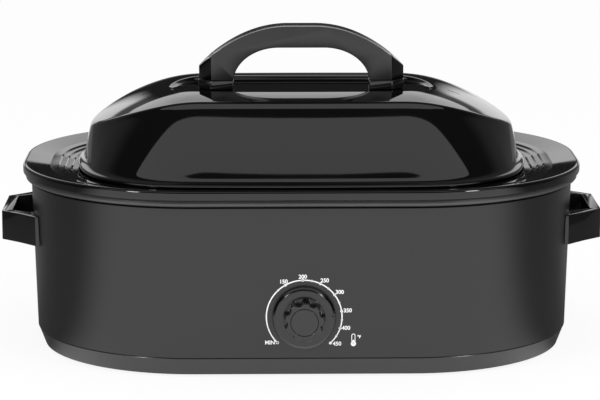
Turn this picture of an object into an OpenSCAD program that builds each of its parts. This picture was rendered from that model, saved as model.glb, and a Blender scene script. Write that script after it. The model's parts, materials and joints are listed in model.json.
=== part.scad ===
// Electric roaster oven: a steel casing round a heated well, with a lift-out
// roasting pan, a wire rack, a high lid with a grip, and a turning dial.
// Millimetres. Z is up, the dial faces -Y, and the feet stand on Z = 0.
// A wall that follows the round outline is a profile of [offset, height] points
// swept round it, where offset 0 is the outer edge of the pan's flange.

/* [Outline] */
// Length of the pan's flange from end to end
flange_len = 540; // [500:5:590]
// Depth of the pan's flange from front to back
flange_dep = 376; // [350:2:410]
// Corner radius of the flange seen from above
corner_r = 168; // [160:1:172]

/* [Heights] */
// Gap that the feet leave under the base
foot_gap = 2; // [1:0.5:6]
// Height of the base band
base_h = 17; // [14:0.5:24]
// Height of the casing's painted wall
casing_h = 142; // [130:1:170]
// Height from the casing's shoulder to the pan's flange
rim_h = 18; // [18:0.5:22]

/* [Sheet and clearances] */
// Steel sheet of the casing
casing_t = 1; // [0.7:0.1:1.5]
// Steel sheet of the heating well and the roasting pan
sheet_t = 1.2; // [0.9:0.1:1.6]
// Moulded wall of the base
base_t = 2; // [1.5:0.1:3]
// Gap between pieces that are seated on each other
seat = 0.3; // [0.2:0.05:0.4]
// Radial clearance of the turning shaft
run_fit = 0.05; // [0.03:0.01:0.08]
// Radial clearance of a screw in its hole
screw_fit = 0.2; // [0.1:0.05:0.4]

/* [Casing] */
// How far the casing's shoulder stands inside the flange
casing_in = 8; // [7:0.5:12]
// Draft of the casing from its shoulder to its foot
casing_draft = 4; // [2:0.5:8]
// Width of the casing's turned-in foot
casing_foot = 9; // [6:0.5:12]

/* [Base] */
// Draft of the base band
base_draft = 6; // [3:0.5:9]
// Height of the bottom plate over the base's lower edge
plate_up = 2.5; // [2:0.5:6]
// Radius of a foot
foot_r = 11; // [8:0.5:14]
// Distance of a foot from the flange's edges
foot_in = 74; // [66:1:84]

/* [Pan] */
// Height of the flange's rolled lip
lip_h = 9; // [7:0.5:10]
// Width of the sloping flange
slope_w = 26; // [20:1:30]
// Drop of the sloping flange
slope_drop = 3.9; // [3:0.1:5]
// Width of each step inside the flange
step_w = 6; // [5:0.5:7]
// Drop of each step inside the flange
step_drop = 1.6; // [1:0.1:2]
// Number of steps inside the flange
steps = 3; // [2:1:3]
// Height of the pan's floor over the base band
pan_up = 15; // [12:1:30]
// Draft of the pan's wall
pan_draft = 5; // [3:0.5:8]
// Radius between the pan's wall and floor
pan_r = 14; // [10:1:20]

/* [Heating well] */
// Gap between the well's wall and the top of the pan's wall
well_gap = 6; // [4:0.5:8]
// Gap under the pan's floor
well_floor_gap = 3; // [2:0.5:5]
// Height of the heating band
band_h = 60; // [40:1:80]
// Thickness of the heating band
band_t = 2; // [1.5:0.1:3]
// Thickness of the insulation
wool_t = 17; // [12:1:18]

/* [Side handles] */
// How far a side handle stands out of the casing's shoulder
grip_out = 28.5; // [24:0.5:34]
// Half of a side handle's width where it meets the casing
grip_half = 73; // [60:1:80]
// Depth of the slanted corner of a side handle
grip_corner = 35; // [25:1:40]
// Thickness of a side handle's bar
grip_bar = 10; // [8:0.5:14]
// Height of a side handle's bar
grip_bar_h = 20; // [16:1:24]
// Height of a side handle's arm at the casing
grip_arm_h = 31; // [26:1:36]
// Depth of a side handle's top under the pan's flange
grip_drop = 47; // [42:1:60]

/* [Dial] */
// Height of the dial's axis
dial_z = 58.5; // [52:0.5:80]
// Sideways place of the dial's axis
dial_x = 0; // [-6:0.5:6]
// Radius of the knob's skirt
skirt_r = 29.3; // [26:0.1:32]
// Radius of the knob's grip
grip_r = 19.5; // [17:0.1:22]
// Depth of the knob
knob_dep = 22; // [18:0.5:28]
// Number of flutes round the grip
flutes = 9; // [6:1:12]
// Radius of the thermostat's shaft
shaft_r = 3; // [2.5:0.1:3.5]

/* [Lid] */
// How far the lid's rim stands inside the flange's ends
lid_in_x = 52; // [48:0.5:62]
// How far the lid's rim stands inside the flange's front and back
lid_in_y = 28; // [27:0.5:32]
// Corner radius of the lid's rim
lid_r = 104; // [96:1:110]
// Height of the lid's crown over its rim
lid_rise = 74.6; // [60:0.2:95]
// How far the arched top stands inside the rim's ends
crown_in_x = 12; // [10:0.5:20]
// How far the arched top stands inside the rim's front and back
crown_in_y = 61.5; // [50:0.5:80]
// Half depth of the arched top's ends between their corners
crown_flat = 12.5; // [8:0.5:20]
// How far the lid's sloping faces swell
lid_swell = 2; // [0:0.5:4]
// Half length of the level part of the arched top
arch_level = 100; // [80:1:110]
// Drop of the arched top from its level part to the lid's ends
arch_fall = 33; // [30:1:46]
// Drop of the arched top from the pocket's edge to its own edge
crown_dip = 3.4; // [0:0.2:5]
// Sheet of the lid
lid_t = 1.5; // [1.2:0.1:2]
// Length of the pocket under the handle
pocket_len = 256; // [240:2:268]
// How far the pocket stands inside the arched top's front and back
pocket_in_y = 46.5; // [40:0.5:54]
// Half depth of the pocket's ends between their corners
pocket_flat = 16; // [12:0.5:22]
// How far the pocket is sunk
pocket_sink = 4.6; // [4:0.2:8]
// Length of a steam slot
vent_len = 12; // [8:1:16]
// Width of a steam slot
vent_w = 2.4; // [2:0.1:3.5]

/* [Lid handle] */
// Width of the handle over its legs
handle_w = 199; // [180:1:210]
// Thickness of the handle from front to back
handle_t = 30; // [26:1:36]
// Height of the handle over the pocket's floor
handle_h = 62; // [54:1:70]
// Depth of the grip bar
handle_bar = 20.5; // [16:0.5:24]
// Width of a leg
leg_w = 33.5; // [26:0.5:38]
// Height of the feet under the legs
shoe_h = 9.5; // [6:0.5:11]
// Slanted corner of a leg
leg_corner = 10; // [6:0.5:12]

/* [Rack] */
// Radius of the rack's frame wire
frame_wire = 2.5; // [2:0.1:3]
// Radius of the rack's cross wires
cross_wire = 1.8; // [1.4:0.1:2.2]
// Gap between the rack's frame and the foot of the pan's wall
rack_in = 20; // [18:1:30]
// Height of the rack's frame over the pan's floor
rack_up = 12; // [8:1:20]
// Distance between cross wires
wire_pitch = 27; // [20:1:40]
// Height of the rack's lifting loops
loop_h = 55; // [40:1:60]
// Half width of the rack's lifting loops
loop_half = 38; // [28:1:40]

/* [Hidden] */

// Heights of the main levels
base_z = foot_gap;
casing_z = base_z + base_h;
shoulder_z = casing_z + casing_h;
flange_z = shoulder_z + rim_h;
lip_z = flange_z - lip_h;
land_z = lip_z - seat;
plate_z = base_z + plate_up;
pan_z = casing_z + pan_up;
well_z = pan_z - sheet_t - well_floor_gap;

// Offsets of the walls from the flange's edge
casing_d = -casing_in;
casing_foot_d = casing_d - casing_draft;
base_d = casing_foot_d - 0.7;
base_foot_d = base_d - base_draft;
recess_d = -slope_w - 8;
pan_d = recess_d - steps * step_w - 3;
pan_foot_d = pan_d - pan_draft;
well_d = pan_d + well_gap;
well_out_d = well_d + sheet_t;
band_d = well_out_d + seat;
wool_d = band_d + band_t + seat;

// The master outline: a rectangle with wide round corners
half_len = flange_len / 2;
half_dep = flange_dep / 2;
corner_x = half_len - corner_r;
corner_y = half_dep - corner_r;
corner_fn = 180;

// Places its children at the four corners, each turned by a quarter
module at_corners() {
    translate([corner_x, corner_y, 0]) children();
    translate([-corner_x, corner_y, 0]) rotate([0, 0, 90]) children();
    translate([-corner_x, -corner_y, 0]) rotate([0, 0, 180]) children();
    translate([corner_x, -corner_y, 0]) rotate([0, 0, 270]) children();
}

// Sweeps a profile of [offset, height] points round the master outline
module around(profile) {
    at_corners() rotate_extrude(angle = 90, $fn = corner_fn)
        translate([corner_r, 0]) polygon(profile);
    for (turn = [0, 180]) {
        rotate([0, 0, turn]) translate([half_len, 0, 0]) rotate([90, 0, 0])
            linear_extrude(2 * corner_y, center = true) polygon(profile);
        rotate([0, 0, turn]) translate([0, half_dep, 0]) rotate([90, 0, 90])
            linear_extrude(2 * corner_x, center = true) polygon(profile);
    }
}

// Sweeps a round wire round the master outline
module wire_around(d, z, r) {
    at_corners() rotate_extrude(angle = 90, $fn = corner_fn)
        translate([corner_r + d, z]) circle(r = r, $fn = 32);
    for (end = [-1, 1]) {
        rod_y(end * (half_len + d), z, -corner_y, corner_y, r);
        rod_x(end * (half_dep + d), z, -corner_x, corner_x, r);
    }
}

// Points of an arc
function arc(cx, cy, r, from, to, n) =
    [for (i = [0 : n]) let (t = from + (to - from) * i / n) [cx + r * cos(t), cy + r * sin(t)]];

// One quarter of an eight-arc oval, from the end round to the long side
function quarter(a, b, r, bow_y, bow_x, n) =
    let (cx = a - r - bow_x, cy = b - r - bow_y,
         re = r + (cy * cy + bow_x * bow_x) / (2 * bow_x),
         rs = r + (cx * cx + bow_y * bow_y) / (2 * bow_y),
         te = atan2(cy, cx - a + re), ts = atan2(cx, cy - b + rs))
    concat([for (i = [0 : n - 1]) let (t = te * i / n) [a - re + re * cos(t), re * sin(t)]],
           [for (i = [0 : 2 * n - 1]) let (t = te + (90 - ts - te) * i / (2 * n))
               [cx + r * cos(t), cy + r * sin(t)]],
           [for (i = [0 : 2 * n - 1]) let (t = 90 - ts + ts * i / (2 * n))
               [rs * cos(t), b - rs + rs * sin(t)]]);

function flip_x(p) = [-p[0], p[1]];
function flip_y(p) = [p[0], -p[1]];
function back(list) = [for (i = [len(list) - 1 : -1 : 0]) list[i]];

// A whole eight-arc oval, turning left, with equal counts whatever its size
function oval(a, b, r, bow_y, bow_x, n) =
    let (q = quarter(a, b, r, bow_y, bow_x, n), m = len(q))
    concat(q,
           [[0, b]], [for (i = [m - 1 : -1 : 1]) flip_x(q[i])],
           [for (p = q) [-p[0], -p[1]]],
           [[0, -b]], [for (i = [m - 1 : -1 : 1]) flip_y(q[i])]);

// The master outline at an offset
function outline(d) = concat(
    arc(corner_x, corner_y, corner_r + d, 0, 90, 18),
    arc(-corner_x, corner_y, corner_r + d, 90, 180, 18),
    arc(-corner_x, -corner_y, corner_r + d, 180, 270, 18),
    arc(corner_x, -corner_y, corner_r + d, 270, 360, 18));

// Where the offset outline stands at a given x or y
function outline_y(x, d) =
    corner_y + sqrt(pow(corner_r + d, 2) - pow(max(0, abs(x) - corner_x), 2));
function outline_x(y, d) =
    corner_x + sqrt(pow(corner_r + d, 2) - pow(max(0, abs(y) - corner_y), 2));

// A flat plate that fills the outline
module plate(d, z, t) {
    translate([0, 0, z]) linear_extrude(t) polygon(outline(d));
}

// A rod between two heights
module post(x, y, z0, z1, r) {
    translate([x, y, z0]) cylinder(h = z1 - z0, r = r, $fn = 48);
}

// A rod that runs back from y0 to y1
module rod_y(x, z, y0, y1, r) {
    translate([x, y0, z]) rotate([-90, 0, 0]) cylinder(h = y1 - y0, r = r, $fn = 64);
}

// A rod that runs from x0 to x1
module rod_x(y, z, x0, x1, r) {
    translate([x0, y, z]) rotate([0, 90, 0]) cylinder(h = x1 - x0, r = r, $fn = 48);
}

module block(x0, x1, y0, y1, z0, z1) {
    translate([x0, y0, z0]) cube([x1 - x0, y1 - y0, z1 - z0]);
}

// ---------------------------------------------------------------- casing

// The casing's wall at a given height
function casing_at(z) = casing_foot_d + (z - casing_z) / casing_h * casing_draft;

neck_d = casing_d - 1.5;
neck_top = land_z - sheet_t - seat;
foot_top = casing_z + seat + casing_t;
front_y = -outline_y(dial_x, casing_at(dial_z));
rear_y = -front_y;

// Side handle screws
grip_top = flange_z - grip_drop;
grip_screw_y = grip_half - 16;
grip_screw_z = grip_top - grip_arm_h / 2;
grip_screw_r = 2;
bushing_r = 5;
bushing_gap = 0.4;
bracket_screw_x = 17;
bracket_screw_r = 1.5;

module casing_holes() {
    rod_y(dial_x, dial_z, front_y - 10, front_y + 10, bushing_r + bushing_gap);
    for (side = [-1, 1]) {
        rod_y(dial_x + side * bracket_screw_x, dial_z, front_y - 10, front_y + 10,
              bracket_screw_r + screw_fit);
    }
    for (side = [-1, 1], end = [-1, 1])
        rod_x(side * grip_screw_y, grip_screw_z, end * half_len - 60, end * half_len + 60,
              grip_screw_r + screw_fit);
}

module outer_casing() {
    color([0.10, 0.10, 0.10]) difference() {
        around([
            [casing_foot_d - casing_foot, casing_z + seat],
            [casing_foot_d, casing_z + seat],
            [casing_d, shoulder_z],
            [neck_d, shoulder_z + 1.5],
            [neck_d, neck_top],
            [neck_d - casing_t, neck_top],
            [neck_d - casing_t, shoulder_z + 1],
            [casing_d - casing_t, shoulder_z - 0.5],
            [casing_foot_d - casing_t, foot_top],
            [casing_foot_d - casing_foot, foot_top]]);
        casing_holes();
    }
}

// ---------------------------------------------------------------- heating well

lip_r = 3;
bead_r = 1.8;
bead_low = shoulder_z + 3;
bead_top = bead_low + 3.7;
bead_out = -2.5;
bead_in = -7.4;
well_r = 12;
well_flange_z = land_z - 1.7;
ledge_w = 16;
tie_r = 3;

module heating_well() {
    color([0.22, 0.22, 0.23]) difference() {
        union() {
            around(concat(
                arc(bead_out - bead_r, bead_low + bead_r, bead_r, -90, 0, 4),
                [[bead_out, bead_top - 1.2], [bead_out - 0.8, bead_top], [-4.5, land_z]],
                [[-12, land_z], [-14, well_flange_z]],
                arc(well_d + lip_r, well_flange_z - lip_r, lip_r, 90, 180, 4),
                [[well_d, well_z + well_r]],
                arc(well_d - well_r, well_z + well_r, well_r, 0, -90, 6),
                [[well_d - well_r - ledge_w, well_z]],
                [[well_d - well_r - ledge_w, well_z - sheet_t]],
                arc(well_d - well_r, well_z + well_r, well_r + sheet_t, -90, 0, 6),
                [[well_out_d, well_flange_z - sheet_t]],
                [[-14.6, well_flange_z - sheet_t], [-12.6, land_z - sheet_t]],
                [[bead_in, land_z - sheet_t], [bead_in, bead_low]]));
            plate(well_d - well_r - ledge_w / 2, well_z - sheet_t, sheet_t);
        }
        post(0, 0, well_z - 5, well_z + 5, tie_r + screw_fit);
    }
}

// ---------------------------------------------------------------- base

post_x = 150;
post_y = 70;
shield_z = plate_z + base_t + 8;
shield_t = 0.8;
shield_d = -78;
post_r = 4;
foot_x = half_len - foot_in;
foot_y = half_dep - foot_in;
foot_h = plate_z - seat;
foot_screw_r = 2;

// The base band's wall at a given height, and the cord's gland in its rear
function base_at(z) = base_foot_d + (z - base_z) / base_h * base_draft;
gland_r = 4.8;
gland_flange = 6.5;
gland_z = plate_z + base_t + gland_r + seat;
gland_wall = half_dep + base_at(gland_z);
gland_face = half_dep + base_at(casing_z) + seat;
gland_len = 11;
cord_r = 3.2;
cord_room = 0.7;

module base_pan() {
    color([0.28, 0.28, 0.28]) difference() {
        union() {
            around([
                [base_foot_d, base_z],
                [base_d, casing_z - 1],
                [base_d - 0.6, casing_z],
                [base_d - 10, casing_z],
                [base_d - 10, casing_z - base_t],
                [base_d - base_t - 0.3, casing_z - base_t],
                [base_foot_d - base_t + 0.6, plate_z + base_t],
                [base_foot_d - base_t - ledge_w, plate_z + base_t],
                [base_foot_d - base_t - ledge_w, plate_z],
                [base_foot_d - base_t, plate_z],
                [base_foot_d - base_t, base_z]]);
            plate(base_foot_d - base_t - ledge_w / 2, plate_z, base_t);
        }
        for (sx = [-1, 1], sy = [-1, 1]) {
            post(sx * foot_x, sy * foot_y, 0, plate_z + 10, foot_screw_r + screw_fit);
            post(sx * post_x, sy * post_y, 0, plate_z + 10, foot_screw_r + screw_fit);
        }
        post(0, 0, 0, plate_z + 10, tie_r + screw_fit);
        rod_y(0, gland_z, gland_wall - 12, gland_wall + 12, gland_r + 0.1);
    }
}

module foot(sx, sy) {
    color([0.06, 0.06, 0.06]) translate([sx * foot_x, sy * foot_y, 0]) difference() {
        rotate_extrude($fn = 72)
            polygon([[0, 0], [foot_r - 0.8, 0], [foot_r, 0.8], [foot_r, foot_h], [0, foot_h]]);
        translate([0, 0, -1]) cylinder(h = foot_h + 2, r = foot_screw_r + screw_fit, $fn = 48);
        translate([0, 0, -1]) cylinder(h = 1 + foot_h / 2, r = 4.4, $fn = 48);
    }
}

module foot_screws() {
    color([0.7, 0.7, 0.7]) for (sx = [-1, 1], sy = [-1, 1]) {
        post(sx * foot_x, sy * foot_y, 1, plate_z + base_t + 2, foot_screw_r);
        post(sx * foot_x, sy * foot_y, 0.6, foot_h / 2 - 0.1, 4);
        post(sx * foot_x, sy * foot_y, plate_z + base_t + 0.1, plate_z + base_t + 2.5, 4);
    }
}

module heat_shield() {
    color([0.75, 0.75, 0.76]) difference() {
        plate(shield_d, shield_z, shield_t);
        for (sx = [-1, 1], sy = [-1, 1])
            post(sx * post_x, sy * post_y, shield_z - 2, shield_z + 4, foot_screw_r + screw_fit);
        post(0, 0, shield_z - 2, shield_z + 4, tie_r + 2);
    }
}

module shield_posts() {
    color([0.8, 0.8, 0.8]) for (sx = [-1, 1], sy = [-1, 1])
        difference() {
            post(sx * post_x, sy * post_y, plate_z + base_t + 0.1, shield_z - 0.1, post_r);
            post(sx * post_x, sy * post_y, plate_z, shield_z + 1, foot_screw_r + screw_fit);
        }
}

module shield_screws() {
    color([0.7, 0.7, 0.7]) for (sx = [-1, 1], sy = [-1, 1]) {
        post(sx * post_x, sy * post_y, plate_z - 0.1, shield_z + shield_t + 0.1, foot_screw_r);
        post(sx * post_x, sy * post_y, plate_z - 1.6, plate_z - 0.1, 3.8);
        post(sx * post_x, sy * post_y, shield_z + shield_t + 0.1, shield_z + shield_t + 2.1, 3.8);
    }
}

module tie_bolt() {
    color([0.72, 0.72, 0.72]) {
        post(0, 0, plate_z - 0.1, well_z + 0.1, tie_r);
        post(0, 0, plate_z - 2, plate_z - 0.1, tie_r + 3);
        post(0, 0, well_z + 0.1, well_z + 1.6, tie_r + 4);
    }
}

// ---------------------------------------------------------------- heater

band_z = well_z + well_r + 12;
clamp_y = outline_y(0, band_d + band_t);

module heating_band() {
    color([0.62, 0.60, 0.55]) around([
        [band_d, band_z], [band_d + band_t, band_z],
        [band_d + band_t, band_z + band_h], [band_d, band_z + band_h]]);
}

clamp_h = 24;
clamp_w = 30;
clamp_z = band_z + (band_h - clamp_h) / 2;

module band_clamp() {
    color([0.72, 0.72, 0.72]) {
        difference() {
            union() {
                block(-clamp_w / 2, clamp_w / 2, clamp_y + seat, clamp_y + seat + 1.5,
                      clamp_z, clamp_z + clamp_h);
                for (side = [-1, 1])
                    block(side * 6 - 1, side * 6 + 1, clamp_y + seat, clamp_y + 14,
                          clamp_z, clamp_z + clamp_h);
            }
            rod_x(clamp_y + 8, clamp_z + clamp_h / 2, -20, 20, 2 + screw_fit);
        }
        rod_x(clamp_y + 8, clamp_z + clamp_h / 2, -10, 10, 2);
        rod_x(clamp_y + 8, clamp_z + clamp_h / 2, -10.5, -7.1, 3.6);
        rod_x(clamp_y + 8, clamp_z + clamp_h / 2, 7.1, 10.5, 3.6);
    }
}

wool_low = well_z + 4;
wool_top = well_flange_z - sheet_t - 4;
stat_w = 44;
stat_h = 34;
window = 4;

module insulation() {
    color([0.85, 0.80, 0.62]) difference() {
        around([
            [wool_d, wool_low], [wool_d + wool_t, wool_low],
            [wool_d + wool_t, wool_top], [wool_d, wool_top]]);
        block(dial_x - stat_w / 2 - window, dial_x + stat_w / 2 + window, -half_dep, -half_dep / 3,
              wool_low - 1, dial_z + stat_h / 2 + window);
        block(-clamp_w / 2 - window, clamp_w / 2 + window, half_dep / 3, half_dep,
              wool_low - 1, clamp_z + clamp_h + window);
    }
}

// ---------------------------------------------------------------- thermostat

bracket_t = 1.5;
bracket_y = front_y + casing_t + 1.2;
stat_y = bracket_y + bracket_t + 0.2;
stat_dep = 18;
bushing_front = front_y - 0.4;

module thermostat_bracket() {
    color([0.7, 0.7, 0.7]) difference() {
        block(dial_x - stat_w / 2, dial_x + stat_w / 2, bracket_y, bracket_y + bracket_t,
              dial_z - stat_h / 2, dial_z + stat_h / 2);
        rod_y(dial_x, dial_z, bracket_y - 5, bracket_y + 5, bushing_r + bushing_gap);
        for (side = [-1, 1])
            rod_y(dial_x + side * bracket_screw_x, dial_z, bracket_y - 5, bracket_y + 5,
                  bracket_screw_r + screw_fit);
    }
}

module bracket_screws() {
    color([0.6, 0.6, 0.6]) for (side = [-1, 1]) {
        rod_y(dial_x + side * bracket_screw_x, dial_z, front_y - 0.2, bracket_y + bracket_t + 0.1,
              bracket_screw_r);
        rod_y(dial_x + side * bracket_screw_x, dial_z, front_y - 0.9, front_y - 0.2, 2.6);
        rod_y(dial_x + side * bracket_screw_x, dial_z, bracket_y + bracket_t + 0.1,
              bracket_y + bracket_t + 2, 2.6);
        difference() {
            rod_y(dial_x + side * bracket_screw_x, dial_z, front_y + casing_t + 0.1,
                  bracket_y - 0.1, 3);
            rod_y(dial_x + side * bracket_screw_x, dial_z, front_y, bracket_y + 1,
                  bracket_screw_r);
        }
    }
}

module thermostat_body() {
    color([0.55, 0.42, 0.30]) difference() {
        block(dial_x - 13, dial_x + 13, stat_y, stat_y + stat_dep,
              dial_z - stat_h / 2 + 1, dial_z + stat_h / 2 - 1);
        rod_y(dial_x, dial_z, stat_y - 1, stat_y + 12.5, shaft_r + 0.5);
    }
}

module thermostat_bushing() {
    color([0.78, 0.70, 0.42]) difference() {
        union() {
            rod_y(dial_x, dial_z, bushing_front, stat_y - 0.1, bushing_r);
            translate([dial_x, front_y - 0.35, dial_z]) rotate([90, 0, 0])
                cylinder(h = 2.2, r = 8, $fn = 6);
        }
        rod_y(dial_x, dial_z, bushing_front - 5, stat_y + 5, shaft_r + run_fit);
    }
}

// ---------------------------------------------------------------- wiring

block_y = rear_y - 32;
block_z = plate_z + base_t + 0.3;
fuse_x = 60;
fuse_y = 40;
fuse_z = well_z - sheet_t - 3.4;

module cord_gland() {
    color([0.05, 0.05, 0.05]) difference() {
        union() {
            rod_y(0, gland_z, gland_wall - base_t - 2.5, gland_face + gland_len, gland_r);
            rod_y(0, gland_z, gland_face, gland_face + 2.5, gland_flange);
        }
        rod_y(0, gland_z, gland_wall - 12, gland_face, cord_r + cord_room);
        rod_y(0, gland_z, gland_wall - 12, gland_face + gland_len + 1, cord_r);
    }
}

module terminal_block() {
    color([0.90, 0.88, 0.80]) difference() {
        block(-22, 22, block_y - 7, block_y + 7, block_z, block_z + 12);
        for (i = [-1, 0, 1])
            post(i * 13, block_y, block_z + 5, block_z + 13, 2.6);
    }
}

module thermal_fuse() {
    color([0.8, 0.8, 0.8])
        translate([fuse_x, fuse_y, fuse_z]) rotate([0, 90, 0])
            cylinder(h = 22, r = 2.4, center = true, $fn = 48);
}

module fuse_clip() {
    color([0.7, 0.7, 0.7]) difference() {
        block(fuse_x - 5, fuse_x + 5, fuse_y - 3.6, fuse_y + 3.6,
              fuse_z - 3.6, well_z - sheet_t - 0.2);
        translate([fuse_x, fuse_y, fuse_z]) rotate([0, 90, 0])
            cylinder(h = 12, r = 2.4 + 0.1, center = true, $fn = 48);
    }
}

// A round wire along hand-picked points, mitred at each bend
wire_r = 1.6;
wire_sides = 8;
function unit(v) = v / norm(v);
function wire_dir(path, i) =
    i == 0 ? unit(path[1] - path[0])
    : i == len(path) - 1 ? unit(path[i] - path[i - 1])
    : unit(unit(path[i] - path[i - 1]) + unit(path[i + 1] - path[i]));
function wire_ring(p, dir, r) =
    let (side = unit(cross(dir, abs(dir[2]) > 0.9 ? [1, 0, 0] : [0, 0, 1])),
         up = cross(side, dir))
    [for (k = [0 : wire_sides - 1]) let (t = 360 * k / wire_sides)
        p + r * cos(t) * side + r * sin(t) * up];

module wire(path, r) {
    n = len(path);
    s = wire_sides;
    points = [for (i = [0 : n - 1], q = wire_ring(path[i], wire_dir(path, i), r)) q];
    faces = concat(
        [[for (k = [0 : s - 1]) k]],
        [for (i = [0 : n - 2], k = [0 : s - 1])
            [i * s + (k + 1) % s, i * s + k, (i + 1) * s + k, (i + 1) * s + (k + 1) % s]],
        [[for (k = [s - 1 : -1 : 0]) (n - 1) * s + k]]);
    polyhedron(points = points, faces = faces, convexity = 6);
}

wire_z = plate_z + base_t + wire_r + 0.7;
wire_back = 30;
wire_front = front_y + wire_back;
stat_low = dial_z - stat_h / 2 + 1;

module lead_wires() {
    color([0.80, 0.78, 0.72]) for (side = [-1, 1])
        wire([
            [side * 13, block_y - 7.3, wire_z + 2],
            [side * 13, block_y - 16, wire_z],
            [side * 40, block_y - 40, wire_z],
            [side * 44, 0, wire_z],
            [side * 40, wire_front + 24, wire_z],
            [dial_x + side * 14, wire_front + 6, wire_z],
            [dial_x + side * 8, wire_front - 10, wire_z + 4],
            [dial_x + side * 8, stat_y + 9, wire_z + 10],
            [dial_x + side * 8, stat_y + 9, stat_low - 0.3]], wire_r);
}

// ---------------------------------------------------------------- side handles

grip_far = half_len + casing_d + grip_out;
grip_cover = 28;
grip_near = outline_x(grip_half, casing_at(grip_top)) - 12;
grip_turn = grip_corner * 0.52;
grip_arm = 28;

module side_handle(end) {
    color([0.04, 0.04, 0.04]) difference() {
        mirror([end < 0 ? 1 : 0, 0, 0]) difference() {
            translate([0, 0, grip_top - grip_arm_h]) linear_extrude(grip_arm_h)
                difference() {
                    polygon([
                        [grip_near, grip_half], [grip_near, -grip_half],
                        [grip_far - grip_corner, -grip_half],
                        [grip_far - grip_turn, grip_turn - grip_half],
                        [grip_far, grip_corner - grip_half],
                        [grip_far, grip_half - grip_corner],
                        [grip_far - grip_turn, grip_half - grip_turn],
                        [grip_far - grip_corner, grip_half]]);
                    polygon([
                        [grip_near - 1, grip_half - grip_arm], [grip_near - 1, grip_arm - grip_half],
                        [grip_far - grip_bar, grip_corner - grip_half + 2],
                        [grip_far - grip_bar, grip_half - grip_corner - 2]]);
                }
            rotate([90, 0, 0]) linear_extrude(4 * grip_half, center = true)
                polygon([
                    [grip_near - 2, grip_top - grip_arm_h - 5],
                    [grip_near - 2, grip_top - grip_arm_h],
                    [grip_far + 1, grip_top - grip_bar_h],
                    [grip_far + 1, grip_top - grip_arm_h - 5]]);
        }
        around([
            [casing_at(grip_top - 50) - 30, grip_top - 50],
            [casing_at(grip_top - 50) + seat, grip_top - 50],
            [casing_at(grip_top + 10) + seat, grip_top + 10],
            [casing_at(grip_top + 10) - 30, grip_top + 10]]);
        for (side = [-1, 1])
            rod_x(side * grip_screw_y, grip_screw_z,
                  end > 0 ? half_len - 60 : grip_cover - grip_far,
                  end > 0 ? grip_far - grip_cover : 60 - half_len,
                  grip_screw_r + screw_fit);
    }
}

head_r = 3.6;
head_t = 2.4;

module side_handle_screws() {
    head = outline_x(grip_screw_y + head_r, casing_at(grip_screw_z - head_r) - casing_t) - 0.2;
    tip = grip_far - grip_cover - 1;
    color([0.7, 0.7, 0.7]) for (end = [-1, 1], side = [-1, 1]) {
        rod_x(side * grip_screw_y, grip_screw_z, min(end * (head - 1), end * tip),
              max(end * (head - 1), end * tip), grip_screw_r);
        rod_x(side * grip_screw_y, grip_screw_z, min(end * head, end * (head - head_t)),
              max(end * head, end * (head - head_t)), head_r);
    }
}

// ---------------------------------------------------------------- roasting pan

curl_w = 7;
step_slope = 1.6;
function step_points(k) =
    k == steps ? []
    : concat([[recess_d - k * step_w, flange_z - slope_drop - k * step_drop],
              [recess_d - k * step_w - step_slope, flange_z - slope_drop - (k + 1) * step_drop]],
             step_points(k + 1));
recess_z = flange_z - slope_drop;
pan_top = recess_z - steps * step_drop;
function lower(list, t) = [for (p = list) [p[0], p[1] - t]];

module roasting_pan() {
    top = concat(
        [[-slope_w, recess_z]],
        step_points(0));
    floor_d = pan_foot_d - pan_r;
    color([0.07, 0.07, 0.07]) {
        around(concat(
            [[-curl_w, lip_z], [-1.2, lip_z], [0, lip_z + 1.2]],
            arc(-lip_r, flange_z - lip_r, lip_r, 0, 80, 4),
            top,
            [[pan_d + 2.4, pan_top]],
            [[pan_d + 0.7, pan_top - 0.7], [pan_d, pan_top - 2.4]],
            arc(floor_d, pan_z + pan_r, pan_r, 0, -90, 6),
            [[floor_d - ledge_w, pan_z], [floor_d - ledge_w, pan_z - sheet_t]],
            arc(floor_d, pan_z + pan_r, pan_r + sheet_t, -90, 0, 6),
            [[pan_d + sheet_t, pan_top - 2.4]],
            back(lower(top, sheet_t)),
            arc(-lip_r, flange_z - lip_r, lip_r - sheet_t, 80, 0, 4),
            [[-sheet_t, lip_z + sheet_t], [-curl_w, lip_z + sheet_t]]));
        plate(floor_d - ledge_w / 2, pan_z - sheet_t, sheet_t);
    }
}

// ---------------------------------------------------------------- rack

rack_d = pan_foot_d - rack_in;
rack_z = pan_z + rack_up + frame_wire;
cross_z = rack_z + frame_wire + cross_wire + 0.05;
rack_foot_x = corner_x;
brace_y = 40;
brace_x = outline_x(brace_y, rack_d);
cross_half = floor((outline_x(0, rack_d) - 14) / wire_pitch);

module rack_frame() {
    color([0.8, 0.8, 0.82]) {
        wire_around(rack_d, rack_z, frame_wire);
        for (sx = [-1, 1], sy = [-1, 1])
            post(sx * rack_foot_x, sy * brace_y, pan_z + seat, rack_z, frame_wire - 0.5);
        for (side = [-1, 1])
            rod_x(side * brace_y, rack_z, -brace_x, brace_x, frame_wire - 0.3);
    }
}

module rack_cross_wires() {
    color([0.8, 0.8, 0.82]) for (i = [-cross_half : cross_half]) {
        x = i * wire_pitch;
        y = outline_y(x, rack_d) + frame_wire;
        rod_y(x, cross_z, -y, y, cross_wire);
    }
}

loop_r = 12;
loop_foot = rack_z + frame_wire + 0.05;
loop_top = loop_foot + loop_h;

module rack_loop(end) {
    x = end * outline_x(loop_half, rack_d);
    color([0.8, 0.8, 0.82]) {
        for (side = [-1, 1]) {
            post(x, side * loop_half, loop_foot, loop_top - loop_r, cross_wire + 0.2);
            translate([x, side * (loop_half - loop_r), loop_top - loop_r])
                rotate([0, -90, 0]) rotate([0, 0, side > 0 ? 0 : -90])
                    rotate_extrude(angle = 90, $fn = 72)
                        translate([loop_r, 0]) circle(r = cross_wire + 0.2, $fn = 32);
        }
        rod_y(x, loop_top, loop_r - loop_half, loop_half - loop_r, cross_wire + 0.2);
    }
}

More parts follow.
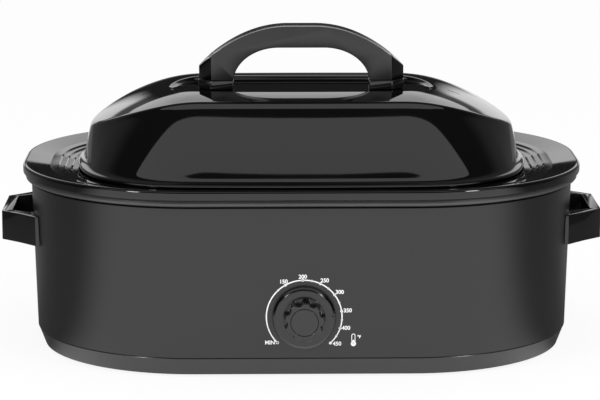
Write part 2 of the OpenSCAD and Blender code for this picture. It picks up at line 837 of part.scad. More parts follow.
// ---------------------------------------------------------------- lid

lid_z = recess_z + seat;
crown_z = lid_z + lid_rise;
arch_bend = 1.75;
lid_n = 4;
rim_w = 7;
rim_up = 7;

// Height of the lid's arched top at x
function arch_z(x) =
    crown_z - arch_fall * pow(max(0, abs(x) - arch_level) / (crown_half_x - arch_level), arch_bend);

// A ring of the lid: an oval lifted to a height or on to the arch
function level_ring(list, z) = [for (p = list) [p[0], p[1], z]];
function arch_ring(list, down) = [for (p = list) [p[0], p[1], arch_z(p[0]) - down]];
function mix(a, b, t) = a + (b - a) * t;
function mix_ring(a, b, t) = [for (i = [0 : len(a) - 1]) mix(a[i], b[i], t)];

lid_half_x = half_len - lid_in_x;
lid_half_y = half_dep - lid_in_y;
crown_half_x = lid_half_x - crown_in_x;
crown_half_y = lid_half_y - crown_in_y;
crown_r = crown_half_y - crown_flat;
pocket_half_x = pocket_len / 2;
pocket_half_y = crown_half_y - pocket_in_y;
pocket_r = pocket_half_y - pocket_flat;
function rim_oval(d) = oval(lid_half_x + d, lid_half_y + d, lid_r + d, 3, 8, lid_n);
function crown_oval(d) =
    oval(crown_half_x + d, crown_half_y + d, crown_r + d, 2.5, 4, lid_n);
function pocket_oval(d) =
    oval(pocket_half_x + d, pocket_half_y + d, pocket_r + d, 2, 4, lid_n);

// A ring between two others, swollen outwards in step with the slope's length
function swell(v, t) =
    let (run = norm([v[0], v[1]]))
    4 * t * (1 - t) * lid_swell / lid_slope * [-v[0] * v[2] / run, -v[1] * v[2] / run, run];
function swell_ring(a, b, t) =
    [for (i = [0 : len(a) - 1]) mix(a[i], b[i], t) + swell(b[i] - a[i], t)];
lid_slope = norm([crown_in_y - rim_w, lid_rise - rim_up]);

pocket_z = crown_z - pocket_sink;
edge_r = 3;
lid_foot = level_ring(rim_oval(-rim_w), lid_z + rim_up);
lid_edge = arch_ring(crown_oval(0), crown_dip + edge_r);
lid_foot_in = level_ring(rim_oval(-rim_w - lid_t), lid_z + rim_up - lid_t / 2);
lid_edge_in = arch_ring(crown_oval(-lid_t), crown_dip + edge_r + lid_t);
crown_rim = crown_oval(-edge_r - 0.5);
pocket_rim = pocket_oval(1.5);
function dome_ring(t) = arch_ring(mix_ring(crown_rim, pocket_rim, t),
                                  crown_dip * (1 - t) * (1 - 0.75 * t));
function floor_z(x) = min(pocket_z, arch_z(x) - 2.2);
function floor_ring(list, down) = [for (p = list) [p[0], p[1], floor_z(p[0]) - down]];

lid_outer = [
    level_ring(rim_oval(-1), lid_z),
    level_ring(rim_oval(0), lid_z + 1),
    level_ring(rim_oval(0), lid_z + 2.4),
    level_ring(rim_oval(-1), lid_z + 3.4),
    level_ring(rim_oval(-rim_w + 2), lid_z + 4.2),
    lid_foot,
    swell_ring(lid_foot, lid_edge, 0.25),
    swell_ring(lid_foot, lid_edge, 0.5),
    swell_ring(lid_foot, lid_edge, 0.75),
    lid_edge,
    arch_ring(crown_oval(-1.2), crown_dip + 1.1),
    dome_ring(0),
    dome_ring(0.33),
    dome_ring(0.67),
    dome_ring(1),
    arch_ring(pocket_oval(0), 0.6),
    floor_ring(pocket_oval(-1.5), -0.6),
    floor_ring(pocket_oval(-3.5), 0),
    floor_ring(pocket_oval(-20), 0)];
lid_inner = [
    floor_ring(pocket_oval(-20), lid_t),
    floor_ring(pocket_oval(0), lid_t + 0.4),
    arch_ring(pocket_oval(3), lid_t + 0.6),
    arch_ring(crown_oval(-edge_r - 2), crown_dip + lid_t),
    lid_edge_in,
    swell_ring(lid_foot_in, lid_edge_in, 0.75),
    swell_ring(lid_foot_in, lid_edge_in, 0.5),
    swell_ring(lid_foot_in, lid_edge_in, 0.25),
    lid_foot_in,
    level_ring(rim_oval(-rim_w - 0.4), lid_z + 2.6),
    level_ring(rim_oval(-4), lid_z + 1.6),
    level_ring(rim_oval(-3), lid_z)];

module lid_solid() {
    rings = concat(lid_outer, lid_inner);
    n = len(rings[0]);
    m = len(lid_outer);
    last = len(rings) - 1;
    points = concat([for (ring = rings, p = ring) p],
                    [[0, 0, pocket_z], [0, 0, pocket_z - lid_t]]);
    faces = concat(
        [for (i = [0 : last], k = [0 : n - 1])
            if (i != m - 1) let (a = i * n, b = (i == last ? 0 : i + 1) * n, j = (k + 1) % n)
                each [[a + j, a + k, b + k], [a + j, b + k, b + j]]],
        [for (k = [0 : n - 1]) [(m - 1) * n + (k + 1) % n, (m - 1) * n + k, len(rings) * n]],
        [for (k = [0 : n - 1]) [m * n + k, m * n + (k + 1) % n, len(rings) * n + 1]]);
    polyhedron(points = points, faces = faces, convexity = 8);
}

vent_x = 149;
vent_y = 0;
leg_x = (handle_w - leg_w) / 2;
lid_screw_r = 2.2;

module lid_shell() {
    color([0.05, 0.05, 0.05]) difference() {
        lid_solid();
        for (side = [-1, 1]) {
            block(side * vent_x - vent_len / 2, side * vent_x + vent_len / 2,
                  vent_y - vent_w / 2, vent_y + vent_w / 2, pocket_z - 40, crown_z);
            post(side * leg_x, 0, pocket_z - 10, pocket_z + 5, lid_screw_r + screw_fit);
        }
    }
}

// ---------------------------------------------------------------- lid handle

shoe_z = pocket_z + seat;
leg_z = shoe_z + shoe_h;
handle_z = pocket_z + handle_h;
grip_flat = 12;
arch_curve = 0.0033;
arch_power = 2.1;
inner_flat = 22;
inner_half = handle_w / 2 - leg_w;
inner_z = handle_z - handle_bar;
inner_drop = 34;

function handle_top(x) =
    handle_z - arch_curve * pow(max(0, abs(x) - grip_flat), arch_power);
function handle_low(x) =
    let (u = min(1, max(0, abs(x) - inner_flat) / (inner_half - inner_flat)))
    inner_z - inner_drop * (1 - sqrt(1 - u * u));

module handle_side() {
    top = [for (i = [0 : 40]) let (x = handle_w * (i / 40 - 0.5)) [x, handle_top(x)]];
    low = [for (i = [0 : 32]) let (x = inner_half * cos(180 * i / 32))
        [x, max(leg_z, handle_low(x))]];
    polygon(concat([[-handle_w / 2, leg_z]], top, [[handle_w / 2, leg_z]], low));
}

module leg_plan(grow) {
    w = handle_w / 2 + grow;
    t = handle_t / 2 + grow;
    x = w - leg_corner;
    y = t - leg_corner * 1.2;
    polygon([[-w, -y], [-x, -t], [x, -t], [w, -y], [w, y], [x, t], [-x, t], [-w, y]]);
}

module lid_handle() {
    color([0.06, 0.06, 0.06]) difference() {
        intersection() {
            rotate([90, 0, 0]) linear_extrude(2 * handle_t, center = true) handle_side();
            translate([0, 0, leg_z]) linear_extrude(handle_h + 20) leg_plan(0);
        }
        for (side = [-1, 1])
            post(side * leg_x, 0, leg_z - 1, leg_z + 10, lid_screw_r + screw_fit);
    }
}

module handle_shoe(end) {
    color([0.03, 0.03, 0.03]) difference() {
        translate([0, 0, shoe_z]) linear_extrude(shoe_h - seat) intersection() {
            leg_plan(0.8);
            translate([end * (leg_x + 0.4) - leg_w / 2 - 0.8, -handle_t])
                square([leg_w + 1.6, 2 * handle_t]);
        }
        post(end * leg_x, 0, shoe_z - 1, leg_z + 1, lid_screw_r + screw_fit);
    }
}

washer_r = 9;
washer_t = 0.8;
washer_top = pocket_z - lid_t - 0.1;

module lid_washers() {
    color([0.75, 0.75, 0.75]) for (side = [-1, 1]) difference() {
        post(side * leg_x, 0, washer_top - washer_t, washer_top, washer_r);
        post(side * leg_x, 0, washer_top - 2, washer_top + 1, lid_screw_r + screw_fit);
    }
}

module lid_handle_screws() {
    color([0.75, 0.75, 0.75]) for (side = [-1, 1]) {
        post(side * leg_x, 0, washer_top - washer_t - 0.1, leg_z + 9.5, lid_screw_r);
        post(side * leg_x, 0, washer_top - washer_t - 2.8, washer_top - washer_t - 0.1, 4.4);
    }
}

// ---------------------------------------------------------------- dial

knob_back = front_y - 1.5;
skirt_t = 5;
knob_front = knob_back - knob_dep;
knob_bore = 14;
flute_r = 4;
dial_rest = 84;
notch_w = 2.4;

module dial_knob() {
    color([0.16, 0.16, 0.16]) translate([dial_x, knob_back, dial_z]) rotate([90, 0, 0])
        difference() {
            union() {
                rotate_extrude($fn = 144) polygon([
                    [0, 0], [skirt_r, 0], [skirt_r, 2.2], [skirt_r - 1.4, skirt_t - 1],
                    [skirt_r - 3.2, skirt_t], [0, skirt_t]]);
                rotate_extrude($fn = 144) polygon([
                    [0, skirt_t - 1], [grip_r, skirt_t - 1], [grip_r - 0.8, knob_dep - 2],
                    [grip_r - 2.8, knob_dep], [0, knob_dep]]);
            }
            for (k = [0 : flutes - 1])
                rotate([0, 0, 90 - dial_rest + 360 * (k + 0.5) / flutes])
                    translate([grip_r + flute_r * 0.45, 0, skirt_t + 1.5])
                        cylinder(h = knob_dep, r = flute_r, $fn = 48);
            rotate([0, 0, 90 - dial_rest]) translate([skirt_r - 5, -notch_w / 2, skirt_t - 1.8])
                cube([8, notch_w, 5]);
            translate([0, 0, -1]) cylinder(h = knob_bore + 1, r = shaft_r + 0.1, $fn = 64);
            translate([0, 0, -1]) cylinder(h = 4, r = 10, $fn = 64);
            rotate([0, 0, 90 - dial_rest]) translate([shaft_r - 0.5, -2.4, 3])
                cube([2.2, 4.8, knob_bore - 3]);
        }
}

module dial_shaft() {
    color([0.75, 0.75, 0.75]) translate([dial_x, knob_back, dial_z]) rotate([90, 0, 0])
        difference() {
            translate([0, 0, -(stat_y + 12 - knob_back)])
                cylinder(h = stat_y + 12 - knob_back + knob_bore - 0.3, r = shaft_r, $fn = 64);
            rotate([0, 0, 90 - dial_rest]) translate([shaft_r - 0.7, -5, 3])
                cube([5, 10, knob_bore]);
        }
}

module knob_spring() {
    color([0.8, 0.8, 0.8]) translate([dial_x, knob_back, dial_z]) rotate([90, 0, 0])
        rotate([0, 0, 90 - dial_rest]) translate([shaft_r - 0.4, -2, 3.4])
            cube([1.2, 4, knob_bore - 4.6]);
}

// ---------------------------------------------------------------- assembly

// Puts the middle between the knob's front and the flange's rear edge on Y = 0
module placed() {
    translate([0, -(knob_front + half_dep) / 2, 0]) children();
}

placed() outer_casing();
placed() heating_well();
placed() base_pan();
placed() heating_band();
placed() band_clamp();
placed() insulation();
placed() heat_shield();
placed() shield_posts();
placed() shield_screws();
placed() tie_bolt();
placed() foot(-1, -1);  // foot_1
placed() foot(1, -1);  // foot_2
placed() foot(1, 1);  // foot_3
placed() foot(-1, 1);  // foot_4
placed() foot_screws();
placed() side_handle(-1);  // side_handle_left
placed() side_handle(1);  // side_handle_right
placed() side_handle_screws();
placed() thermostat_body();
placed() thermostat_bushing();
placed() thermostat_bracket();
placed() bracket_screws();
placed() thermal_fuse();
placed() fuse_clip();
placed() terminal_block();
placed() lead_wires();
placed() cord_gland();
placed() roasting_pan();
placed() rack_frame();
placed() rack_cross_wires();
placed() rack_loop(-1);  // rack_loop_left
placed() rack_loop(1);  // rack_loop_right
placed() lid_shell();
placed() lid_handle();
placed() handle_shoe(-1);  // handle_shoe_left
placed() handle_shoe(1);  // handle_shoe_right
placed() lid_washers();
placed() lid_handle_screws();
placed() dial_knob();
placed() dial_shaft();
placed() knob_spring();
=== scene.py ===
"""Electric roaster oven: the packed model's looks, laid out as an add-on.

Sizes are metres in the properties and millimetres in the profiles below. The
outline's middle is CENTRE_Y, because the knob stands in front of the pan.
Profiles that no box of the frame gives repeat the values of the solid model.
"""
import json
import math

import bmesh
import bpy
from bpy.props import FloatProperty, FloatVectorProperty, IntProperty, PointerProperty
from mathutils import Matrix, Vector


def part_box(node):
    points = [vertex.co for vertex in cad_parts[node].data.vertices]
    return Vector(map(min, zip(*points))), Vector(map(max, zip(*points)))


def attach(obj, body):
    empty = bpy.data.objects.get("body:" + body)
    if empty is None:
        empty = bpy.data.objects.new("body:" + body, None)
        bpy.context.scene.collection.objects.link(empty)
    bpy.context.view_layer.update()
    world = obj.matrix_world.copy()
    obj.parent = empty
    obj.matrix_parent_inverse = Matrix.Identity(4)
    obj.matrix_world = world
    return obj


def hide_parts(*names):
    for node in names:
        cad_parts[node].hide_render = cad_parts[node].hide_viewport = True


bl_info = {
    "name": "Electric roaster oven",
    "version": (1, 0, 0),
    "blender": (4, 5, 0),
    "location": "3D View > Sidebar > Roaster",
    "description": "Dresses the roaster oven's packed frame and sets its studio",
    "category": "Object",
}

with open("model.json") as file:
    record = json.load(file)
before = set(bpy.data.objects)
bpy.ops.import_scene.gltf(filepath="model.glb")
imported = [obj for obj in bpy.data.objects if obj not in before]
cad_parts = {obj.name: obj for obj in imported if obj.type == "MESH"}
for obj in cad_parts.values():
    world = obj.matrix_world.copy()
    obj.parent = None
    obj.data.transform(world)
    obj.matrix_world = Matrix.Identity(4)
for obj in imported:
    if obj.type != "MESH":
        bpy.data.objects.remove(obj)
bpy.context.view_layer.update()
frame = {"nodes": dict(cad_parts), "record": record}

MM = 0.001
PAN_LOW, PAN_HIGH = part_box("roasting_pan")
LID_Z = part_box("lid_shell")[0].z / MM
GRIP_LOW, GRIP_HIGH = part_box("lid_handle")
KNOB_LOW, KNOB_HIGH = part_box("dial_knob")
CENTRE_Y = (PAN_LOW.y + PAN_HIGH.y) / 2
HALF_LEN = (PAN_HIGH.x - PAN_LOW.x) / 2 / MM
HALF_DEP = (PAN_HIGH.y - PAN_LOW.y) / 2 / MM
CORNER_R = 168.0  # radius of the pan's corners
CORNER_X = HALF_LEN - CORNER_R
CORNER_Y = HALF_DEP - CORNER_R
CASING_FOOT_Z = 19.0  # height of the casing's lower edge
CASING_FOOT = -12.0  # offset from the pan's outline at that edge
CASING_RISE = 142.0
CASING_DRAFT = 4.0  # how much the wall leans out over its rise
DIAL_X = (KNOB_LOW.x + KNOB_HIGH.x) / 2 / MM
DIAL_Z = (KNOB_LOW.z + KNOB_HIGH.z) / 2 / MM


def casing_at(z):
    """Offset of the casing's wall at a height, in millimetres."""
    return CASING_FOOT + (z - CASING_FOOT_Z) / CASING_RISE * CASING_DRAFT


def front_at(z):
    """Y of the casing's flat front at a height, in millimetres."""
    return CENTRE_Y / MM - HALF_DEP - casing_at(z)


# ------------------------------------------------------------------ settings


def length(label, text, metres):
    return FloatProperty(name=label, description=text, default=metres, unit="LENGTH")


def angle(label, text, degrees):
    return FloatProperty(name=label, description=text, default=math.radians(degrees),
                         subtype="ANGLE")


def number(label, text, value):
    return FloatProperty(name=label, description=text, default=value)


def colour(label, text, value):
    return FloatVectorProperty(name=label, description=text, default=value, subtype="COLOR",
                               size=3)


class PanSettings(bpy.types.PropertyGroup):
    """Sizes of the roasting pan."""

    lip_radius: length("Lip radius", "Radius of the flange's rolled lip", 0.003)
    step_radius: length("Step radius", "Radius of each step's edges", 0.0007)
    floor_radius: length("Floor radius", "Radius between wall and floor", 0.014)
    turns: IntProperty(name="Corner steps", description="Steps in each corner's quarter turn",
                       default=36, min=8)


class LidSettings(bpy.types.PropertyGroup):
    """Sizes of the lid and its handle."""

    sheet: length("Sheet", "Thickness of the lid's sheet", 0.0015)
    bulge: length("Bulge", "How far the lid's sloping faces swell", 0.002)
    grip_edge: length("Grip edge", "Radius of the handle's long edges", 0.0022)
    slot_length: length("Slot length", "Length of a steam slot", 0.012)


class SideHandleSettings(bpy.types.PropertyGroup):
    """Sizes of the end handles."""

    edge: length("Edge radius", "Radius of the end handles' edges", 0.0011)


class DialSettings(bpy.types.PropertyGroup):
    """Sizes of the knob and of the scale round it."""

    ring_radius: length("Ring radius", "Radius of the scale's ring", 0.0350)
    ring_width: length("Ring width", "Width of the scale's ring", 0.00115)
    number_size: length("Number size", "Height of the scale's type", 0.0052)
    flutes: IntProperty(name="Flutes", description="Flutes round the knob's grip",
                        default=9, min=6)
    rest_angle: angle("Pointer", "Pointer's turn from the top at rest", 84)


class FinishSettings(bpy.types.PropertyGroup):
    """Colours of the finishes."""

    casing: colour("Casing paint", "Satin paint of the casing", (0.0075, 0.0075, 0.0075))
    enamel: colour("Enamel", "Gloss enamel of the pan and lid", (0.0025, 0.0025, 0.0026))
    grip: colour("Grip plastic", "Satin plastic of grip and knob", (0.013, 0.013, 0.013))
    base: colour("Base band", "Moulded base band", (0.021, 0.021, 0.0215))
    ink: colour("Scale print", "Print round the dial", (0.98, 0.98, 0.98))


class StageSettings(bpy.types.PropertyGroup):
    """The camera, the lamps and the floor."""

    distance: length("Distance", "Camera's distance from the middle", 2.6)
    height: length("Height", "Camera's height over the floor", 0.644)
    side: angle("Side", "Camera's turn to the left of the front", 0.9)
    pitch: angle("Pitch", "How far the camera looks down", 11.1)
    lens: number("Lens", "Focal length in millimetres", 161.6)
    shift: number("Shift", "Sideways shift of the lens, in widths", -0.002)
    sky: number("Sky", "Strength of the even light all round", 0.95)
    front_card: number("Front card", "Whiteness of the card in front", 1.0)
    top_lamp: number("Top lamp", "Radiance of the overhead softbox", 1.1)
    side_lamp: number("Side lamps", "Radiance of the two front lamps", 45.0)
    floor: colour("Floor", "Colour of the floor", (0.86, 0.86, 0.86))


SETTINGS = {
    "roaster_pan": PanSettings,
    "roaster_lid": LidSettings,
    "roaster_sides": SideHandleSettings,
    "roaster_dial": DialSettings,
    "roaster_finish": FinishSettings,
    "roaster_stage": StageSettings,
}


# ------------------------------------------------------------------ modelling


def deselect():
    bpy.ops.object.select_all(action="DESELECT")


def pick(obj):
    """Makes obj the only selected object and the active one."""
    deselect()
    obj.select_set(True)
    bpy.context.view_layer.objects.active = obj


class Editing:
    """Edit mode on one object, with nothing selected at the start."""

    def __init__(self, obj, kind="VERT"):
        self.obj = obj
        self.kind = kind

    def __enter__(self):
        pick(self.obj)
        bpy.ops.object.mode_set(mode="EDIT")
        bpy.ops.mesh.select_mode(type=self.kind)
        bpy.ops.mesh.select_all(action="DESELECT")
        return self

    def __exit__(self, *error):
        bpy.ops.object.mode_set(mode="OBJECT")

    def mesh(self):
        return bmesh.from_edit_mesh(self.obj.data)

    def update(self):
        bmesh.update_edit_mesh(self.obj.data)

    def select_edges(self, test):
        """Selects the edges whose two ends pass the test."""
        bpy.ops.mesh.select_mode(type="EDGE")
        bm = self.mesh()
        for edge in bm.edges:
            edge.select_set(bool(test(edge.verts[0].co, edge.verts[1].co)))
        bm.select_flush_mode()
        self.update()


def outline_circle(name, points, fill="NOTHING"):
    """A circle primitive whose corners are moved on to the points."""
    deselect()
    bpy.ops.mesh.primitive_circle_add(vertices=len(points), radius=0.1, fill_type=fill)
    obj = bpy.context.object
    obj.name = name
    with Editing(obj) as edit:
        bm = edit.mesh()
        bm.verts.ensure_lookup_table()
        for vert, point in zip(bm.verts, points):
            vert.co = Vector(point)
        edit.update()
    return obj


def prism(name, points, z0, z1):
    """A plate with the outline points, from z0 to z1, in metres."""
    obj = outline_circle(name, [(p[0], p[1], z0) for p in points], "NGON")
    with Editing(obj) as edit:
        bpy.ops.mesh.select_all(action="SELECT")
        bpy.ops.mesh.extrude_region_move(TRANSFORM_OT_translate={"value": (0, 0, z1 - z0)})
        bpy.ops.mesh.select_all(action="SELECT")
        bpy.ops.mesh.normals_make_consistent(inside=False)
    return obj


def cut(obj, point, normal):
    """Cuts off what lies beyond a plane and closes the cut."""
    with Editing(obj):
        bpy.ops.mesh.select_all(action="SELECT")
        bpy.ops.mesh.bisect(plane_co=point, plane_no=normal, use_fill=True, clear_outer=True)


def finish_mesh(obj, smooth=32.0):
    """Merges doubles, turns the faces outwards and smooths by angle."""
    with Editing(obj):
        bpy.ops.mesh.select_all(action="SELECT")
        bpy.ops.mesh.remove_doubles(threshold=0.000005)
        bpy.ops.mesh.normals_make_consistent(inside=False)
    pick(obj)
    bpy.ops.object.shade_smooth_by_angle(angle=math.radians(smooth))
    return obj


def round_edges(obj, width, segments=3, angle=30.0):
    """Rounds the edges sharper than the angle."""
    pick(obj)
    bevel = obj.modifiers.new("Edges", "BEVEL")
    bevel.width = width
    bevel.segments = segments
    bevel.limit_method = "ANGLE"
    bevel.angle_limit = math.radians(angle)
    bevel.use_clamp_overlap = True
    bevel.miter_outer = "MITER_ARC"
    bevel.harden_normals = True
    bpy.ops.object.modifier_apply(modifier=bevel.name)
    return obj


def settle(obj):
    """Puts the object's place into its mesh."""
    pick(obj)
    bpy.ops.object.transform_apply(location=True, rotation=True, scale=True)
    return obj


def join(name, parts):
    """Joins the parts to one object of that name."""
    deselect()
    for part in parts:
        part.select_set(True)
    bpy.context.view_layer.objects.active = parts[0]
    if len(parts) > 1:
        bpy.ops.object.join()
    whole = bpy.context.object
    whole.name = name
    return whole


def fillet(corners, steps=4):
    """A line of [x, z, radius] corners, each rounded to its radius."""
    line = [tuple(corners[0][:2])]
    for before, here, after in zip(corners, corners[1:], corners[2:]):
        p = Vector(here[:2])
        a = Vector(before[:2]) - p
        b = Vector(after[:2]) - p
        if here[2] <= 0 or a.length == 0 or b.length == 0:
            line.append(tuple(p))
            continue
        half = a.angle(b) / 2
        reach = min(here[2] / math.tan(half), a.length * 0.49, b.length * 0.49)
        radius = reach * math.tan(half)
        middle = p + (a.normalized() + b.normalized()).normalized() * (radius / math.sin(half))
        start = p + a.normalized() * reach - middle
        end = p + b.normalized() * reach - middle
        turn = start.angle_signed(end)
        count = max(2, int(steps * abs(turn) / (math.pi / 2) + 1))
        for i in range(count + 1):
            spoke = start.copy()
            spoke.rotate(Matrix.Rotation(-turn * i / count, 2))
            line.append(tuple(middle + spoke))
    line.append(tuple(corners[-1][:2]))
    return line


def sweep(name, line, turns):
    """Sweeps an open line of [offset, z] round the pan's outline and caps both its ends."""
    count = len(line)
    points = [((HALF_LEN + d) * MM, CENTRE_Y - CORNER_Y * MM, z * MM) for d, z in line]
    obj = outline_circle(name, points)
    with Editing(obj, "EDGE") as edit:
        bm = edit.mesh()
        bm.verts.ensure_lookup_table()
        first, last = bm.verts[0], bm.verts[count - 1]
        for edge in bm.edges:
            edge.select_set({first, last} == set(edge.verts))
        edit.update()
        bpy.ops.mesh.delete(type="EDGE")
        bpy.ops.mesh.select_mode(type="VERT")
        bpy.ops.mesh.select_all(action="SELECT")
        side_x, side_y = 2 * CORNER_X * MM, 2 * CORNER_Y * MM
        runs = [((0, side_y, 0), (1, 1)), ((-side_x, 0, 0), (-1, 1)),
                ((0, -side_y, 0), (-1, -1)), ((side_x, 0, 0), (1, -1))]
        for move, (sx, sy) in runs:
            bpy.ops.mesh.extrude_region_move(TRANSFORM_OT_translate={"value": move})
            centre = (sx * CORNER_X * MM, CENTRE_Y + sy * CORNER_Y * MM, 0)
            bpy.ops.mesh.spin(steps=turns, angle=-math.pi / 2, center=centre, axis=(0, 0, 1))
        bpy.ops.mesh.select_all(action="SELECT")
        bpy.ops.mesh.remove_doubles(threshold=0.000005)
        bpy.ops.mesh.select_all(action="DESELECT")
        bpy.ops.mesh.select_mode(type="EDGE")
        bm = edit.mesh()
        for edge in bm.edges:
            edge.select_set(edge.is_boundary)
        edit.update()
        bpy.ops.mesh.edge_face_add()
    return finish_mesh(obj)


def loft(name, rings):
    """Extrudes a ring of points from ring to ring and caps both ends."""
    obj = outline_circle(name, rings[0])
    with Editing(obj) as edit:
        bm = edit.mesh()
        bm.verts.ensure_lookup_table()
        current = list(bm.verts)
        bpy.ops.mesh.select_all(action="SELECT")
        for ring in rings[1:]:
            place = {vert.index: i for i, vert in enumerate(current)}
            bpy.ops.mesh.extrude_region_move(TRANSFORM_OT_translate={"value": (0, 0, MM)})
            bm = edit.mesh()
            bm.verts.index_update()
            bm.verts.ensure_lookup_table()
            old = {bm.verts[k]: i for k, i in place.items()}
            new = [None] * len(ring)
            for vert in bm.verts:
                if vert.select:
                    for edge in vert.link_edges:
                        other = edge.other_vert(vert)
                        if other in old and not other.select:
                            new[old[other]] = vert
            for vert, point in zip(new, ring):
                vert.co = Vector(point)
            current = new
            edit.update()
        bpy.ops.mesh.select_all(action="DESELECT")
        bpy.ops.mesh.select_mode(type="EDGE")
        bm = edit.mesh()
        for edge in bm.edges:
            edge.select_set(edge.is_boundary)
        edit.update()
        bpy.ops.mesh.edge_face_add()
    return finish_mesh(obj)


def smooth_surface(obj, levels):
    """Subdivides the surface to the same level everywhere."""
    pick(obj)
    modifier = obj.modifiers.new("Smooth", "SUBSURF")
    modifier.levels = levels
    modifier.render_levels = levels
    bpy.ops.object.modifier_apply(modifier=modifier.name)
    return obj


def subtract(obj, tool):
    """Takes the tool's volume away from obj and deletes the tool."""
    pick(obj)
    modifier = obj.modifiers.new("Cut", "BOOLEAN")
    modifier.operation = "DIFFERENCE"
    modifier.solver = "EXACT"
    modifier.object = tool
    bpy.ops.object.modifier_apply(modifier=modifier.name)
    bpy.data.objects.remove(tool)
    return obj


def place(obj, body, slot, finish, replaced=()):
    """Gives a finished piece its material and body, and hides the nodes it stands for."""
    obj.data.materials.clear()
    obj.data.materials.append(finish)
    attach(obj, body)
    if replaced:
        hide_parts(*replaced)
    return obj


# ------------------------------------------------------------------ materials


class Value:
    """A socket of a material. Arithmetic on it adds Math nodes."""

    def __init__(self, finish, socket):
        self.finish = finish
        self.socket = socket

    def math(self, operation, first, second=None):
        inputs = {0: first} if second is None else {0: first, 1: second}
        return self.finish.add("ShaderNodeMath", {"operation": operation}, inputs)

    def __add__(self, other):
        return self.math("ADD", self, other)

    def __radd__(self, other):
        return self.math("ADD", other, self)

    def __sub__(self, other):
        return self.math("SUBTRACT", self, other)

    def __rsub__(self, other):
        return self.math("SUBTRACT", other, self)

    def __mul__(self, other):
        return self.math("MULTIPLY", self, other)

    def __rmul__(self, other):
        return self.math("MULTIPLY", other, self)

    def __truediv__(self, other):
        return self.math("DIVIDE", self, other)

    def __pow__(self, other):
        return self.math("POWER", self, other)

    def __abs__(self):
        return self.math("ABSOLUTE", self)


class Finish:
    """One material, or the world given as its owner, and the method that adds its nodes."""

    def __init__(self, name, owner=None):
        self.material = owner or bpy.data.materials.new(name)
        self.material.use_nodes = True
        self.tree = self.material.node_tree
        self.tree.nodes.clear()

    def add(self, kind, settings=None, inputs=None, output=0):
        node = self.tree.nodes.new(kind)
        for key, value in (settings or {}).items():
            if key == "stops":
                ramp = node.color_ramp
                while len(ramp.elements) < len(value):
                    ramp.elements.new(0.5)
                for element, (position, colour) in zip(ramp.elements, value):
                    element.position = position
                    element.color = colour
            else:
                setattr(node, key, value)
        for key, value in (inputs or {}).items():
            if isinstance(value, Value):
                self.tree.links.new(value.socket, node.inputs[key])
            else:
                node.inputs[key].default_value = value
        return Value(self, node.outputs[output]) if node.outputs else None

    def position(self):
        return self.add("ShaderNodeTexCoord", output="Object")

    def facing(self, axis):
        """The surface normal's share along one axis of the object."""
        normal = self.add("ShaderNodeTexCoord", output="Normal")
        return self.add("ShaderNodeSeparateXYZ", None, {0: normal}, axis)

    def stretched(self, scale):
        return self.add("ShaderNodeMapping", None, {"Vector": self.position(), "Scale": scale})

    def noise(self, scale, detail=2.0, roughness=0.5, vector=None):
        where = self.position() if vector is None else vector
        return self.add("ShaderNodeTexNoise", None,
                        {"Vector": where, "Scale": scale, "Detail": detail,
                         "Roughness": roughness})

    def cells(self, scale):
        return self.add("ShaderNodeTexVoronoi", {"feature": "F1"},
                        {"Vector": self.position(), "Scale": scale})

    def ramp(self, value, low, high):
        """0 below low, 1 above high, and smooth between them."""
        return self.add("ShaderNodeMapRange", {"interpolation_type": "SMOOTHSTEP"},
                        {"Value": value, "From Min": low, "From Max": high})

    def blend(self, amount, first, second):
        """A colour between first and second."""
        return self.add("ShaderNodeMix", {"data_type": "RGBA"},
                        {0: amount, 6: first, 7: second}, 2)

    def bump(self, height, distance, strength=1.0, below=None):
        inputs = {"Height": height, "Distance": distance, "Strength": strength}
        if below is not None:
            inputs["Normal"] = below
        return self.add("ShaderNodeBump", None, inputs)

    def light(self, kind, strength):
        """A white Background or Emission."""
        return self.add("ShaderNode" + kind, None, {"Strength": strength, "Color": (1, 1, 1, 1)})

    def mix(self, factor, first, second):
        """A shader between first and second."""
        return self.add("ShaderNodeMixShader", None, {0: factor, 1: first, 2: second})

    def surface(self, **inputs):
        """Closes the material with a Principled shader."""
        names = {key.replace("_", " ").title().replace("Ior", "IOR"): value
                 for key, value in inputs.items()}
        shader = self.add("ShaderNodeBsdfPrincipled", None, names)
        self.add("ShaderNodeOutputMaterial", None, {"Surface": shader})
        return self.material


def rgba(colour, gain=1.0):
    """The colour times a gain, with an alpha of 1."""
    return tuple(min(1.0, c * gain) for c in colour[:3]) + (1.0,)


def satin_paint(name, colour, rough, grain=1700.0, depth=0.00001):
    """Baked paint: fine orange peel, faint clouding and a little dust on top."""
    f = Finish(name)
    cloud = f.noise(14.0, 3.0)
    peel = f.noise(grain, 1.0)
    dust = f.ramp(f.facing(2), 0.55, 1.0) * f.ramp(f.noise(60.0, 4.0), 0.45, 0.75)
    base = f.blend(cloud, rgba(colour, 0.9), rgba(colour, 1.1))
    base = f.blend(dust * 0.03, base, (0.20, 0.19, 0.18, 1.0))
    wave = f.bump(f.noise(55.0, 1.0), 0.00002, 0.5)
    return f.surface(base_color=base, roughness=rough + 0.06 * (cloud - 0.5) + dust * 0.05,
                     normal=f.bump(peel, depth, 0.5, wave))


def gloss_enamel(name, colour, rough=0.045):
    """Fired enamel: deep gloss, long ripples and a few pinholes."""
    f = Finish(name)
    ripple = f.noise(26.0, 1.5)
    pinholes = 1.0 - f.ramp(f.cells(420.0), 0.02, 0.07)
    sparse = pinholes * f.ramp(f.noise(33.0, 2.0), 0.60, 0.66)
    smear = f.ramp(f.noise(9.0, 4.0), 0.5, 0.8)
    wave = f.bump(ripple, 0.00004, 0.5)
    return f.surface(base_color=f.blend(sparse * 0.5, rgba(colour), (0.05, 0.05, 0.05, 1.0)),
                     roughness=rough + 0.02 * smear, specular_ior_level=0.5,
                     normal=f.bump(sparse, 0.00004, -0.5, wave))


POLISHED = 0.17  # roughness of moulded edges and walls beside a grained front


